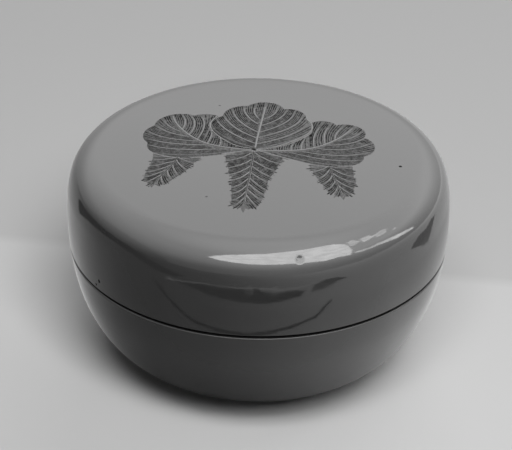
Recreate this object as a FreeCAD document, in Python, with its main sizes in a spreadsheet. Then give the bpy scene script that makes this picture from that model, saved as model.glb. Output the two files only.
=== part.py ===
import FreeCAD, Part
import math
import os
import Sketcher

# Turned round incense box: a bowl-shaped base, a standing collar let into its mouth, and a domed
# lid that seats over the collar and carries a flush inlaid paulownia crest of three leaves above
# three flower spikes. The foot stands on z = 0, the turning axis is Z and the front faces -Y.

# Lengths are in millimetres. Angles are in degrees from level to the surface's outward normal.
DRIVING_SIZES = [
    ("box_radius", 38.0, "widest outside radius, a little above the seam"),
    ("widest_rise", 5.8, "height of the widest line above the seam"),
    ("wall_arc_radius", 59.0, "arc of the side wall, shared by lid and base across the seam"),
    ("upper_wall_angle", 5.0, "where the side wall gives way to the haunch"),
    ("haunch_radius", 12.5, "arc that starts to turn the wall in towards the top"),
    ("haunch_angle", 20.0, "where the haunch gives way to the shoulder"),
    ("shoulder_radius", 6.4, "tight arc between the haunch and the top"),
    ("dome_radius", 515.0, "very shallow crown of the top"),
    ("lower_wall_angle", 11.0, "where the side wall gives way to the flank of the bowl"),
    ("flank_radius", 33.0, "arc of the bowl under the side wall"),
    ("flank_angle", 30.0, "where the flank gives way to the hip"),
    ("hip_radius", 19.0, "rounder arc that turns the bowl under"),
    ("hip_angle", 55.0, "where the hip gives way to the belly"),
    ("belly_radius", 42.0, "flatter arc that runs in to the foot"),
    ("turned_wall", 3.8, "wood left between the outside and the hollow"),
    ("foot_radius", 17.0, "outside of the foot ring"),
    ("foot_height", 1.1, "height at which the belly meets the foot ring"),
    ("foot_ring_width", 1.8, "standing width of the foot ring"),
    ("foot_recess_depth", 0.8, "hollow turned inside the foot ring"),
    ("foot_rounding", 0.25, "softened edges of the foot ring"),
    ("lip_width", 3.3, "flat ledge outside the collar, on which the lid rests"),
    ("lip_rounding", 0.15, "softened outer edges either side of the seam"),
    ("collar_thickness", 1.5, "wall of the standing collar"),
    ("collar_seat_depth", 6.0, "how far the collar is let down into the base"),
    ("collar_rise", 3.0, "how far the collar stands above the seam"),
    ("collar_rounding", 0.5, "rounded top edges of the collar"),
    ("lid_fit_gap", 0.15, "radial gap between the collar and the lid's rebate"),
    ("collar_headroom", 0.35, "gap over the collar inside the lid"),
    ("crest_width", 46.0, "tip to tip across the crest's side leaves"),
    ("inlay_depth", 0.5, "thickness of the crest's inlays"),
    ("reserved_line", 0.35, "bare ground kept between neighbouring inlays"),
    ("cut_overrun", 2.0, "how far a cutting shape runs past what it cuts"),
]

# What follows from the driving sizes and is needed by more than one piece.
WORKED_OUT_SIZES = [
    ("wall_centre_offset", "wall_arc_radius - box_radius"),
    ("rim_radius", "sqrt(wall_arc_radius^2 - widest_rise^2) - wall_centre_offset"),
    ("collar_outer_radius", "rim_radius - lip_width"),
    ("wall_foot_radius", "box_radius - wall_arc_radius * (1 - cos(lower_wall_angle))"),
    ("flank_foot_radius",
     "wall_foot_radius - flank_radius * (cos(lower_wall_angle) - cos(flank_angle))"),
    ("hip_foot_radius", "flank_foot_radius - hip_radius * (cos(flank_angle) - cos(hip_angle))"),
    ("foot_tilt", "acos(cos(hip_angle) - (hip_foot_radius - foot_radius) / belly_radius)"),
    ("floor_height", "foot_height + turned_wall * sin(foot_tilt)"),
    ("hip_foot_height", "foot_height + belly_radius * (sin(foot_tilt) - sin(hip_angle))"),
    ("flank_foot_height", "hip_foot_height + hip_radius * (sin(hip_angle) - sin(flank_angle))"),
    ("wall_foot_height",
     "flank_foot_height + flank_radius * (sin(flank_angle) - sin(lower_wall_angle))"),
    ("widest_height", "wall_foot_height + wall_arc_radius * sin(lower_wall_angle)"),
    ("seam_height", "widest_height - widest_rise"),
    ("shoulder_centre_radius",
     "(wall_arc_radius - haunch_radius) * cos(upper_wall_angle)"
     " + (haunch_radius - shoulder_radius) * cos(haunch_angle) - wall_centre_offset"),
    ("shoulder_centre_height",
     "(wall_arc_radius - haunch_radius) * sin(upper_wall_angle)"
     " + (haunch_radius - shoulder_radius) * sin(haunch_angle) + widest_height"),
    ("dome_centre_height",
     "shoulder_centre_height"
     " - sqrt((dome_radius - shoulder_radius)^2 - shoulder_centre_radius^2)"),
    ("lid_top_height", "dome_centre_height + dome_radius"),
    ("dome_edge_radius", "dome_radius * shoulder_centre_radius / (dome_radius - shoulder_radius)"),
    ("lid_hollow_radius", "collar_outer_radius + lid_fit_gap"),
]

# Outlines of the crest seen from above, anticlockwise, as shares of crest_width measured from the
# lid's axis. The third share is the rise of the arc to the next point over its chord: each lobe of
# a leaf is one arc between two notches, and 0 is a straight edge.
CREST_OUTLINE_SHARES = {
    "leaf_centre": [
        (-0.013, 0.002, 0.095), (0.187, 0.117, 0.184), (0.199, 0.285, 0.29), (0.107, 0.383, 0.33),
        (-0.052, 0.410, 0.22), (-0.161, 0.309, 0.17), (-0.212, 0.207, 0.136), (-0.028, 0.007, 0),
    ],
    "leaf_left": [
        (-0.030, -0.002, 0), (-0.187, 0.311, 0.14), (-0.287, 0.313, 0.295),
        (-0.457, 0.224, 0.22), (-0.479, 0.065, 0.145), (-0.450, -0.024, 0.07),
        (-0.315, -0.074, 0.035),
    ],
    "leaf_right": [
        (0.007, -0.007, 0.02), (0.226, -0.117, 0.07), (0.383, -0.120, 0.17),
        (0.446, -0.033, 0.28), (0.451, 0.136, 0.38), (0.335, 0.239, 0.26), (0.228, 0.257, 0),
    ],
    "raceme_centre": [
        (-0.141, -0.022, 0), (-0.141, -0.100, 0), (-0.132, -0.117, 0), (-0.128, -0.204, 0),
        (-0.115, -0.226, 0), (-0.111, -0.463, 0), (-0.096, -0.478, 0), (-0.074, -0.478, 0),
        (-0.063, -0.515, 0), (-0.052, -0.480, 0), (-0.041, -0.489, 0), (-0.028, -0.476, 0),
        (-0.011, -0.478, 0), (0.009, -0.430, 0), (0.030, -0.337, 0), (0.039, -0.257, 0),
        (0.072, -0.167, 0), (0.098, -0.078, 0), (0.100, -0.033, 0), (-0.015, -0.022, 0),
    ],
    "raceme_left": [
        (-0.452, -0.017, 0), (-0.452, -0.078, 0), (-0.459, -0.139, 0), (-0.478, -0.198, 0),
        (-0.485, -0.263, 0), (-0.465, -0.272, 0), (-0.446, -0.317, 0), (-0.435, -0.291, 0),
        (-0.415, -0.309, 0), (-0.407, -0.289, 0), (-0.393, -0.298, 0), (-0.357, -0.248, 0),
        (-0.302, -0.172, 0), (-0.274, -0.115, 0), (-0.248, -0.085, 0), (-0.250, -0.048, 0),
    ],
    "raceme_right": [
        (0.215, -0.100, 0), (0.213, -0.159, 0), (0.229, -0.180, 0), (0.241, -0.226, 0),
        (0.263, -0.276, 0), (0.283, -0.328, 0), (0.296, -0.354, 0), (0.311, -0.346, 0),
        (0.317, -0.374, 0), (0.335, -0.367, 0), (0.350, -0.398, 0), (0.359, -0.372, 0),
        (0.378, -0.363, 0), (0.387, -0.339, 0), (0.400, -0.289, 0), (0.404, -0.259, 0),
        (0.396, -0.209, 0), (0.395, -0.109, 0),
    ],
}

# Which motifs lie over which: the one in front is whole, and the one behind stops short of it.
CREST_IN_FRONT = {
    "leaf_centre": [],
    "leaf_left": ["leaf_centre"],
    "leaf_right": ["leaf_centre"],
    "raceme_centre": ["leaf_centre", "leaf_left", "leaf_right"],
    "raceme_left": ["leaf_left"],
    "raceme_right": ["leaf_right"],
}

# Two places nearer than this are the same place.
SAME_PLACE = 1e-6

document = FreeCAD.newDocument("incense_box")


def fill_sheet():
    """Write the driving sizes and what follows from them into the spreadsheet."""
    sheet = document.addObject("Spreadsheet::Sheet", "sizes")
    row = 0
    for name, number, meaning in DRIVING_SIZES:
        row += 1
        sheet.set(f"A{row}", name)
        sheet.set(f"B{row}", str(number))
        sheet.set(f"C{row}", meaning)
        sheet.setAlias(f"B{row}", name)
    for name, formula in WORKED_OUT_SIZES:
        row += 1
        sheet.set(f"A{row}", name)
        sheet.set(f"B{row}", "=" + formula)
        sheet.setAlias(f"B{row}", name)
    document.recompute()
    return sheet


sizes = fill_sheet()


def worked(formula):
    """The present value of a formula over the sheet."""
    result = sizes.evalExpression(formula)
    return getattr(result, "Value", result)


def bind(sketch, kind, places, formula):
    """Add one sized constraint and tie it to the sheet."""
    number = worked(formula)
    if kind == "Angle":
        number = math.radians(number)
    index = sketch.addConstraint(Sketcher.Constraint(kind, *places, number))
    sketch.setExpression(f"Constraints[{index}]", formula)


def check_solved(sketch):
    """Refuse a sketch whose sizes clash or leave it loose."""
    if sketch.solve() != 0 or not sketch.FullyConstrained:
        raise RuntimeError(f"{sketch.Name} isn't fully constrained")


ORIGIN_POINT = (-1, 1)
TURNING_AXIS = -2
START, END, CENTRE = range(1, 4)


def place_height(sketch, geometry, point, formula):
    bind(sketch, "DistanceY", (*ORIGIN_POINT, geometry, point), formula)


def place_radius(sketch, geometry, point, formula):
    bind(sketch, "DistanceX", (*ORIGIN_POINT, geometry, point), formula)


def section_sketch(body, name):
    """A sketch on the body's XZ plane: across is the radius, up is the height."""
    plane = next(item for item in body.Origin.OriginFeatures if item.Role == "XZ_Plane")
    sketch = body.newObject("Sketcher::SketchObject", name)
    sketch.AttachmentSupport = [(plane, "")]
    sketch.MapMode = "FlatFace"
    return sketch


def turn(body, kind, name, sketch):
    """Turn a section about the sketch's upright axis, to add wood or to cut it."""
    feature = body.newObject(kind, name)
    feature.Profile = sketch
    feature.ReferenceAxis = (sketch, ["V_Axis"])
    feature.Angle = 360
    check_solved(sketch)
    document.recompute()
    return feature


def arc_run(sketch, centre, arcs):
    """Draw tangent arcs from the lowest up.

    centre is where the first arc's centre lies, and each arc is its radius as a formula and the
    angles at which it starts and ends. Only the radii and the tangent joints are fixed here.
    """
    across, up = centre
    drawn = []
    last_radius = None
    for radius_formula, low, high in arcs:
        radius = worked(radius_formula)
        low, high = math.radians(low), math.radians(high)
        if drawn:
            across += (last_radius - radius) * math.cos(low)
            up += (last_radius - radius) * math.sin(low)
        circle = Part.Circle(FreeCAD.Vector(across, up, 0), FreeCAD.Vector(0, 0, 1), radius)
        index = sketch.addGeometry(Part.ArcOfCircle(circle, low, high), False)
        if drawn:
            sketch.addConstraint(Sketcher.Constraint("Tangent", drawn[-1], END, index, START))
        bind(sketch, "Radius", (index,), radius_formula)
        drawn.append(index)
        last_radius = radius
    return drawn


def close_section(sketch, top, bottom, corners):
    """Close a section with level and upright lines from top round to bottom.

    top and bottom are points of the drawn arcs, and corners are the places between them.
    """
    before = sketch.getPoint(*top)
    joint = top
    stops = [FreeCAD.Vector(across, up, 0) for across, up in corners]
    stops.append(sketch.getPoint(*bottom))
    lines = []
    for stop in stops:
        line = sketch.addGeometry(Part.LineSegment(before, stop), False)
        sketch.addConstraint(Sketcher.Constraint("Coincident", *joint, line, START))
        way = "Horizontal" if abs(stop.y - before.y) < abs(stop.x - before.x) else "Vertical"
        sketch.addConstraint(Sketcher.Constraint(way, line))
        before = stop
        joint = (line, END)
        lines.append(line)
    sketch.addConstraint(Sketcher.Constraint("Coincident", *joint, *bottom))
    return lines


def place_side_wall(sketch, wall):
    """Put the side wall's arc where lid and base share it."""
    bind(sketch, "DistanceX", (wall, CENTRE, *ORIGIN_POINT), "sizes.wall_centre_offset")
    place_height(sketch, wall, CENTRE, "sizes.widest_height")


def base_section(sketch, inset, top_height, foot_corners):
    """The base's outside, or its hollow when inset names the wall that is left."""
    less = f" - {inset}" if inset else ""
    foot, hip = worked("sizes.foot_tilt"), worked("sizes.hip_angle")
    flank, wall = worked("sizes.flank_angle"), worked("sizes.lower_wall_angle")
    top_tilt = worked(f"asin(({top_height} - sizes.widest_height) / sizes.wall_arc_radius)")
    belly_centre = (
        worked("sizes.hip_foot_radius - sizes.belly_radius * cos(sizes.hip_angle)"),
        worked("sizes.hip_foot_height + sizes.belly_radius * sin(sizes.hip_angle)"),
    )
    belly_arc, hip_arc, flank_arc, wall_arc = arc_run(sketch, belly_centre, [
        ("sizes.belly_radius" + less, -foot, -hip),
        ("sizes.hip_radius" + less, -hip, -flank),
        ("sizes.flank_radius" + less, -flank, -wall),
        ("sizes.wall_arc_radius" + less, -wall, top_tilt),
    ])
    place_side_wall(sketch, wall_arc)
    place_height(sketch, wall_arc, START,
                 f"sizes.widest_height - (sizes.wall_arc_radius{less}) * sin(sizes.lower_wall_angle)")
    bind(sketch, "Angle", (flank_arc,), "sizes.flank_angle - sizes.lower_wall_angle")
    bind(sketch, "Angle", (hip_arc,), "sizes.hip_angle - sizes.flank_angle")
    place_height(sketch, wall_arc, END, top_height)
    corners = [(0, worked(top_height))] + foot_corners
    return belly_arc, close_section(sketch, (wall_arc, END), (belly_arc, START), corners)


def lid_section(sketch, inset, bottom_height):
    """The lid's outside, or its hollow when inset names the wall that is left."""
    less = f" - {inset}" if inset else ""
    upper, haunch = worked("sizes.upper_wall_angle"), worked("sizes.haunch_angle")
    shoulder_top = worked(
        "acos(sizes.shoulder_centre_radius / (sizes.dome_radius - sizes.shoulder_radius))")
    bottom_tilt = worked(f"asin(({bottom_height} - sizes.widest_height) / sizes.wall_arc_radius)")
    wall_centre = (-worked("sizes.wall_centre_offset"), worked("sizes.widest_height"))
    wall_arc, haunch_arc, shoulder_arc, dome_arc = arc_run(sketch, wall_centre, [
        ("sizes.wall_arc_radius" + less, bottom_tilt, upper),
        ("sizes.haunch_radius" + less, upper, haunch),
        ("sizes.shoulder_radius" + less, haunch, shoulder_top),
        ("sizes.dome_radius" + less, shoulder_top, 90),
    ])
    place_side_wall(sketch, wall_arc)
    place_height(sketch, wall_arc, END,
                 f"sizes.widest_height + (sizes.wall_arc_radius{less}) * sin(sizes.upper_wall_angle)")
    bind(sketch, "Angle", (haunch_arc,), "sizes.haunch_angle - sizes.upper_wall_angle")
    sketch.addConstraint(Sketcher.Constraint("PointOnObject", dome_arc, CENTRE, TURNING_AXIS))
    sketch.addConstraint(Sketcher.Constraint("PointOnObject", dome_arc, END, TURNING_AXIS))
    place_height(sketch, wall_arc, START, bottom_height)
    close_section(sketch, (dome_arc, END), (wall_arc, START), [(0, worked(bottom_height))])


def ring_section(sketch, inner, outer, bottom, top):
    """A plain ring's section, each side a formula. The inner side may be 0, the axis itself."""
    left, right = worked(inner), worked(outer)
    low, high = worked(bottom), worked(top)
    spots = [(left, low), (right, low), (right, high), (left, high)]
    points = [FreeCAD.Vector(across, up, 0) for across, up in spots]
    lines = []
    for number, point in enumerate(points):
        following = points[(number + 1) % len(points)]
        lines.append(sketch.addGeometry(Part.LineSegment(point, following), False))
    for number, line in enumerate(lines):
        following = lines[(number + 1) % len(lines)]
        sketch.addConstraint(Sketcher.Constraint("Coincident", line, END, following, START))
    floor, outside, ceiling, inside = lines
    for line in (floor, ceiling):
        sketch.addConstraint(Sketcher.Constraint("Horizontal", line))
    for line in (outside, inside):
        sketch.addConstraint(Sketcher.Constraint("Vertical", line))
    if left == 0:
        sketch.addConstraint(Sketcher.Constraint("PointOnObject", floor, START, TURNING_AXIS))
    else:
        place_radius(sketch, floor, START, inner)
    place_radius(sketch, floor, END, outer)
    place_height(sketch, floor, START, bottom)
    place_height(sketch, ceiling, START, top)


def lies_on_ring(edge, radius, height):
    """Whether an edge is the circle of that radius about the turning axis at that height."""
    if edge.Degenerated or not isinstance(edge.Curve, Part.Circle):
        return False
    off_radius = abs(edge.Curve.Radius - radius)
    off_height = abs(edge.Curve.Center.z - height)
    return max(off_radius, off_height) < SAME_PLACE


def round_edges(body, name, size, rings):
    """Round the circular edges that lie at the given radii and heights, each a formula."""
    rounded = body.Tip
    picked = []
    for radius, height in rings:
        for number, edge in enumerate(rounded.Shape.Edges, start=1):
            if lies_on_ring(edge, worked(radius), worked(height)):
                picked.append(f"Edge{number}")
    if len(picked) != len(rings):
        raise RuntimeError(f"{name}: found {len(picked)} of {len(rings)} edges")
    fillet = body.newObject("PartDesign::Fillet", name)
    fillet.Base = (rounded, picked)
    fillet.setExpression("Radius", size)
    document.recompute()


def check_cut(body, before, name):
    """A cut that points away from the wood takes nothing off, so its volume is compared."""
    if body.Shape.Volume > before - SAME_PLACE:
        raise RuntimeError(f"{name} cut nothing")


def turned_cut(body, name, draw):
    """Draw a section and turn it out of the body."""
    before = body.Shape.Volume
    sketch = section_sketch(body, name + "_section")
    draw(sketch)
    turn(body, "PartDesign::Groove", name, sketch)
    check_cut(body, before, name)


def make_base_shell():
    body = document.addObject("PartDesign::Body", "base_shell")
    outside = section_sketch(body, "base_outside_section")
    foot_radius = worked("sizes.foot_radius")
    belly_arc, lines = base_section(
        outside, None, "sizes.seam_height", [(0, 0), (foot_radius, 0)])
    place_radius(outside, belly_arc, START, "sizes.foot_radius")
    axis_line = lines[1]
    outside.addConstraint(Sketcher.Constraint("Coincident", axis_line, END, *ORIGIN_POINT))
    turn(body, "PartDesign::Revolution", "base_blank", outside)

    def hollow(sketch):
        belly, drawn = base_section(
            sketch, "sizes.turned_wall", "sizes.seam_height + sizes.cut_overrun",
            [(0, worked("sizes.floor_height"))])
        place_height(sketch, belly, START, "sizes.floor_height")
        sketch.addConstraint(Sketcher.Constraint("PointOnObject", drawn[1], START, TURNING_AXIS))

    def mouth_rebate(sketch):
        ring_section(sketch, "0", "sizes.collar_outer_radius",
                     "sizes.seam_height - sizes.collar_seat_depth",
                     "sizes.seam_height + sizes.cut_overrun")

    def foot_recess(sketch):
        ring_section(sketch, "0", "sizes.foot_radius - sizes.foot_ring_width",
                     "-sizes.cut_overrun", "sizes.foot_recess_depth")

    turned_cut(body, "base_hollow", hollow)
    turned_cut(body, "mouth_rebate", mouth_rebate)
    turned_cut(body, "foot_recess", foot_recess)
    round_edges(body, "base_lip_rounding", "sizes.lip_rounding",
                [("sizes.rim_radius", "sizes.seam_height")])
    round_edges(body, "foot_ring_rounding", "sizes.foot_rounding",
                [("sizes.foot_radius", "0"),
                 ("sizes.foot_radius - sizes.foot_ring_width", "0")])
    return body


def make_mouth_collar():
    body = document.addObject("PartDesign::Body", "mouth_collar")
    section = section_sketch(body, "collar_section")
    top = "sizes.seam_height + sizes.collar_rise"
    inner = "sizes.collar_outer_radius - sizes.collar_thickness"
    ring_section(section, inner, "sizes.collar_outer_radius",
                 "sizes.seam_height - sizes.collar_seat_depth", top)
    turn(body, "PartDesign::Revolution", "collar_ring", section)
    round_edges(body, "collar_top_rounding", "sizes.collar_rounding",
                [("sizes.collar_outer_radius", top), (inner, top)])
    return body


def make_turned_lid():
    """The lid as it leaves the lathe, before the crest is let in."""
    body = document.addObject("PartDesign::Body", "turned_lid")
    outside = section_sketch(body, "lid_outside_section")
    lid_section(outside, None, "sizes.seam_height")
    turn(body, "PartDesign::Revolution", "lid_blank", outside)

    def hollow(sketch):
        lid_section(sketch, "sizes.turned_wall", "sizes.seam_height - sizes.cut_overrun")

    def rebate(sketch):
        ring_section(sketch, "0", "sizes.lid_hollow_radius",
                     "sizes.seam_height - sizes.cut_overrun",
                     "sizes.seam_height + sizes.collar_rise + sizes.collar_headroom")

    turned_cut(body, "lid_hollow", hollow)
    turned_cut(body, "lid_rebate", rebate)
    round_edges(body, "lid_lip_rounding", "sizes.lip_rounding",
                [("sizes.rim_radius", "sizes.seam_height")])
    return body


def make_crest_bed():
    """Everything under the crest's inlays: a plug whose top follows the dome, one inlay down."""
    body = document.addObject("PartDesign::Body", "crest_bed")
    section = section_sketch(body, "crest_bed_section")
    radius = worked("sizes.dome_radius - sizes.inlay_depth")
    centre = FreeCAD.Vector(0, worked("sizes.dome_centre_height"), 0)
    reach = worked("sizes.dome_edge_radius")
    low = worked("sizes.seam_height")
    circle = Part.Circle(centre, FreeCAD.Vector(0, 0, 1), radius)
    dome = section.addGeometry(
        Part.ArcOfCircle(circle, math.acos(reach / radius), math.pi / 2), False)
    section.addConstraint(Sketcher.Constraint("PointOnObject", dome, CENTRE, TURNING_AXIS))
    section.addConstraint(Sketcher.Constraint("PointOnObject", dome, END, TURNING_AXIS))
    bind(section, "Radius", (dome,), "sizes.dome_radius - sizes.inlay_depth")
    place_height(section, dome, CENTRE, "sizes.dome_centre_height")
    place_radius(section, dome, START, "sizes.dome_edge_radius")
    lines = close_section(section, (dome, END), (dome, START), [(0, low), (reach, low)])
    place_height(section, lines[1], START, "sizes.seam_height")
    turn(body, "PartDesign::Revolution", "crest_bed_plug", section)
    return body


def outline_sketch(name, shares):
    """A motif's outline as a sketch of arcs and straight edges at the level of the seam."""
    width = worked("sizes.crest_width")
    sketch = document.addObject("Sketcher::SketchObject", name + "_outline")
    sketch.setExpression(".Placement.Base.z", "sizes.seam_height")
    points = [FreeCAD.Vector(across * width, away * width, 0) for across, away, bulge in shares]
    edges = []
    for number, (across, away, bulge) in enumerate(shares):
        start = points[number]
        stop = points[(number + 1) % len(points)]
        chord = stop - start
        if bulge:
            outward = FreeCAD.Vector(chord.y, -chord.x, 0)
            edge = Part.Arc(start, start + chord / 2 + outward * bulge, stop)
        else:
            edge = Part.LineSegment(start, stop)
        edges.append(sketch.addGeometry(edge, False))
    for number, (across, away, bulge) in enumerate(shares):
        edge = edges[number]
        following = edges[(number + 1) % len(edges)]
        sketch.addConstraint(Sketcher.Constraint("Coincident", edge, END, following, START))
        bind_share(sketch, "DistanceX", edge, across)
        bind_share(sketch, "DistanceY", edge, away)
        if bulge:
            chord_share = (points[(number + 1) % len(points)] - points[number]).Length / width
            radius_share = chord_share * (bulge / 2 + 1 / (8 * bulge))
            bind(sketch, "Radius", (edge,), f"sizes.crest_width * {radius_share}")
    return sketch


def bind_share(sketch, kind, edge, share):
    """Put an edge's start at a share of the crest's width from the axis, on either side of it."""
    if share < 0:
        bind(sketch, kind, (edge, START, *ORIGIN_POINT), f"sizes.crest_width * {-share}")
    else:
        bind(sketch, kind, (*ORIGIN_POINT, edge, START), f"sizes.crest_width * {share}")


def upright(name, outline):
    """Stand an outline up as a solid from the seam to past the top of the lid."""
    solid = document.addObject("Part::Extrusion", name)
    solid.Base = outline
    solid.DirMode = "Custom"
    solid.Dir = FreeCAD.Vector(0, 0, 1)
    solid.Solid = True
    solid.setExpression("LengthFwd", "sizes.lid_top_height - sizes.seam_height + sizes.cut_overrun")
    return solid


def taken_from(name, base, tool):
    """What is left of base once tool is taken away."""
    left = document.addObject("Part::Cut", name)
    left.Base = base
    left.Tool = tool
    return left


def make_crest(turned_lid):
    """The crest's inlays, each one the lid's own top skin within its outline."""
    bed = make_crest_bed()
    outlines = {
        name: outline_sketch(name, shares) for name, shares in CREST_OUTLINE_SHARES.items()}
    grown = {}
    for name in sorted(set().union(*CREST_IN_FRONT.values())):
        margin = document.addObject("Part::Offset2D", name + "_margin")
        margin.Source = outlines[name]
        margin.setExpression("Value", "sizes.reserved_line")
        grown[name] = upright(name + "_clearance", margin)
    inlays = []
    for name, in_front in CREST_IN_FRONT.items():
        skin = document.addObject("Part::Common", name + "_core")
        skin.Base = turned_lid
        skin.Tool = upright(name + "_prism", outlines[name])
        for leaf in in_front:
            skin = taken_from(f"{name}_clear_of_{leaf}", skin, grown[leaf])
        inlays.append(taken_from(name, skin, bed))
    document.recompute()
    return inlays


def make_lid_shell(turned_lid, inlays):
    recess = document.addObject("Part::Compound", "crest_recess")
    recess.Links = inlays
    return taken_from("lid_shell", turned_lid, recess)


def check_and_write(pieces):
    """Refuse a failed or empty piece, then write each one to its own file."""
    document.recompute()
    for item in document.Objects:
        if "Invalid" in item.State or "Error" in item.State:
            raise RuntimeError(f"{item.Name} failed: {item.State}")
    os.makedirs("parts", exist_ok=True)
    for piece in pieces:
        shape = piece.Shape
        if shape.isNull() or not shape.isValid():
            raise RuntimeError(f"{piece.Label} has no valid shape")
        if len(shape.Solids) != 1:
            raise RuntimeError(f"{piece.Label} has {len(shape.Solids)} solids")
    for piece in pieces:
        piece.Shape.exportStep(f"parts/{piece.Label}.step")
        box = piece.Shape.BoundBox
        print(f"{piece.Label}: {piece.Shape.Volume:.1f} mm3,"
              f" {box.XLength:.2f} x {box.YLength:.2f} x {box.ZLength:.2f} mm")


base_shell = make_base_shell()
mouth_collar = make_mouth_collar()
turned_lid = make_turned_lid()
crest_inlays = make_crest(turned_lid)
lid_shell = make_lid_shell(turned_lid, crest_inlays)
check_and_write([base_shell, mouth_collar, lid_shell] + crest_inlays)
print(f"seam at {worked('sizes.seam_height'):.2f} mm, top at {worked('sizes.lid_top_height'):.2f} mm")
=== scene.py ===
import math
import random

import bmesh
import bpy
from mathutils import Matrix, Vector
from mathutils.bvhtree import BVHTree
from bpy.props import FloatProperty, FloatVectorProperty, IntProperty, PointerProperty


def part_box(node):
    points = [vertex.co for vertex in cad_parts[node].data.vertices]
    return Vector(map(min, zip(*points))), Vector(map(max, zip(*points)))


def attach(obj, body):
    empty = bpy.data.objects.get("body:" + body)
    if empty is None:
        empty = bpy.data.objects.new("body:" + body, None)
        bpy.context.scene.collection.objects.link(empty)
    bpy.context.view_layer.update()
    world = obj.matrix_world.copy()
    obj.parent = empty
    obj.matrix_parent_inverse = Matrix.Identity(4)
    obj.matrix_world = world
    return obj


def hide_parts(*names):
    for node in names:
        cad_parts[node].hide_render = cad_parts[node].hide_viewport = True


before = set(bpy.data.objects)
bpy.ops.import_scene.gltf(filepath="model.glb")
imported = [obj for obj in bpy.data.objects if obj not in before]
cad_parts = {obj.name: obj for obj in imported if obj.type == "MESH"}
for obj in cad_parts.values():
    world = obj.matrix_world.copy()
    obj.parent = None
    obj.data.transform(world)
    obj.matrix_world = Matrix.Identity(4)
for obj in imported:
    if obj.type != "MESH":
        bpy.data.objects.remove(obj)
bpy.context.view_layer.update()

bl_info = {
    "name": "Turned Incense Box",
    "version": (1, 0, 0),
    "blender": (4, 5, 0),
    "location": "View3D > Sidebar > Incense Box",
    "description": "Builds a turned and lacquered round box with a paulownia crest on its lid",
    "category": "Object",
}

MM = 0.001
FULL_TURN = 2 * math.pi
BASE_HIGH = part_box("base_shell")[1]
LID_LOW, LID_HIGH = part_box("lid_shell")
COLLAR_LOW, COLLAR_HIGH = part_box("mouth_collar")
SEAM_HEIGHT = BASE_HIGH.z
BOX_RADIUS = (LID_HIGH.x - LID_LOW.x) / 2
COLLAR_RADIUS = (COLLAR_HIGH.x - COLLAR_LOW.x) / 2
LEAVES = ("leaf_centre", "leaf_left", "leaf_right")
RACEMES = ("raceme_centre", "raceme_left", "raceme_right")

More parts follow.
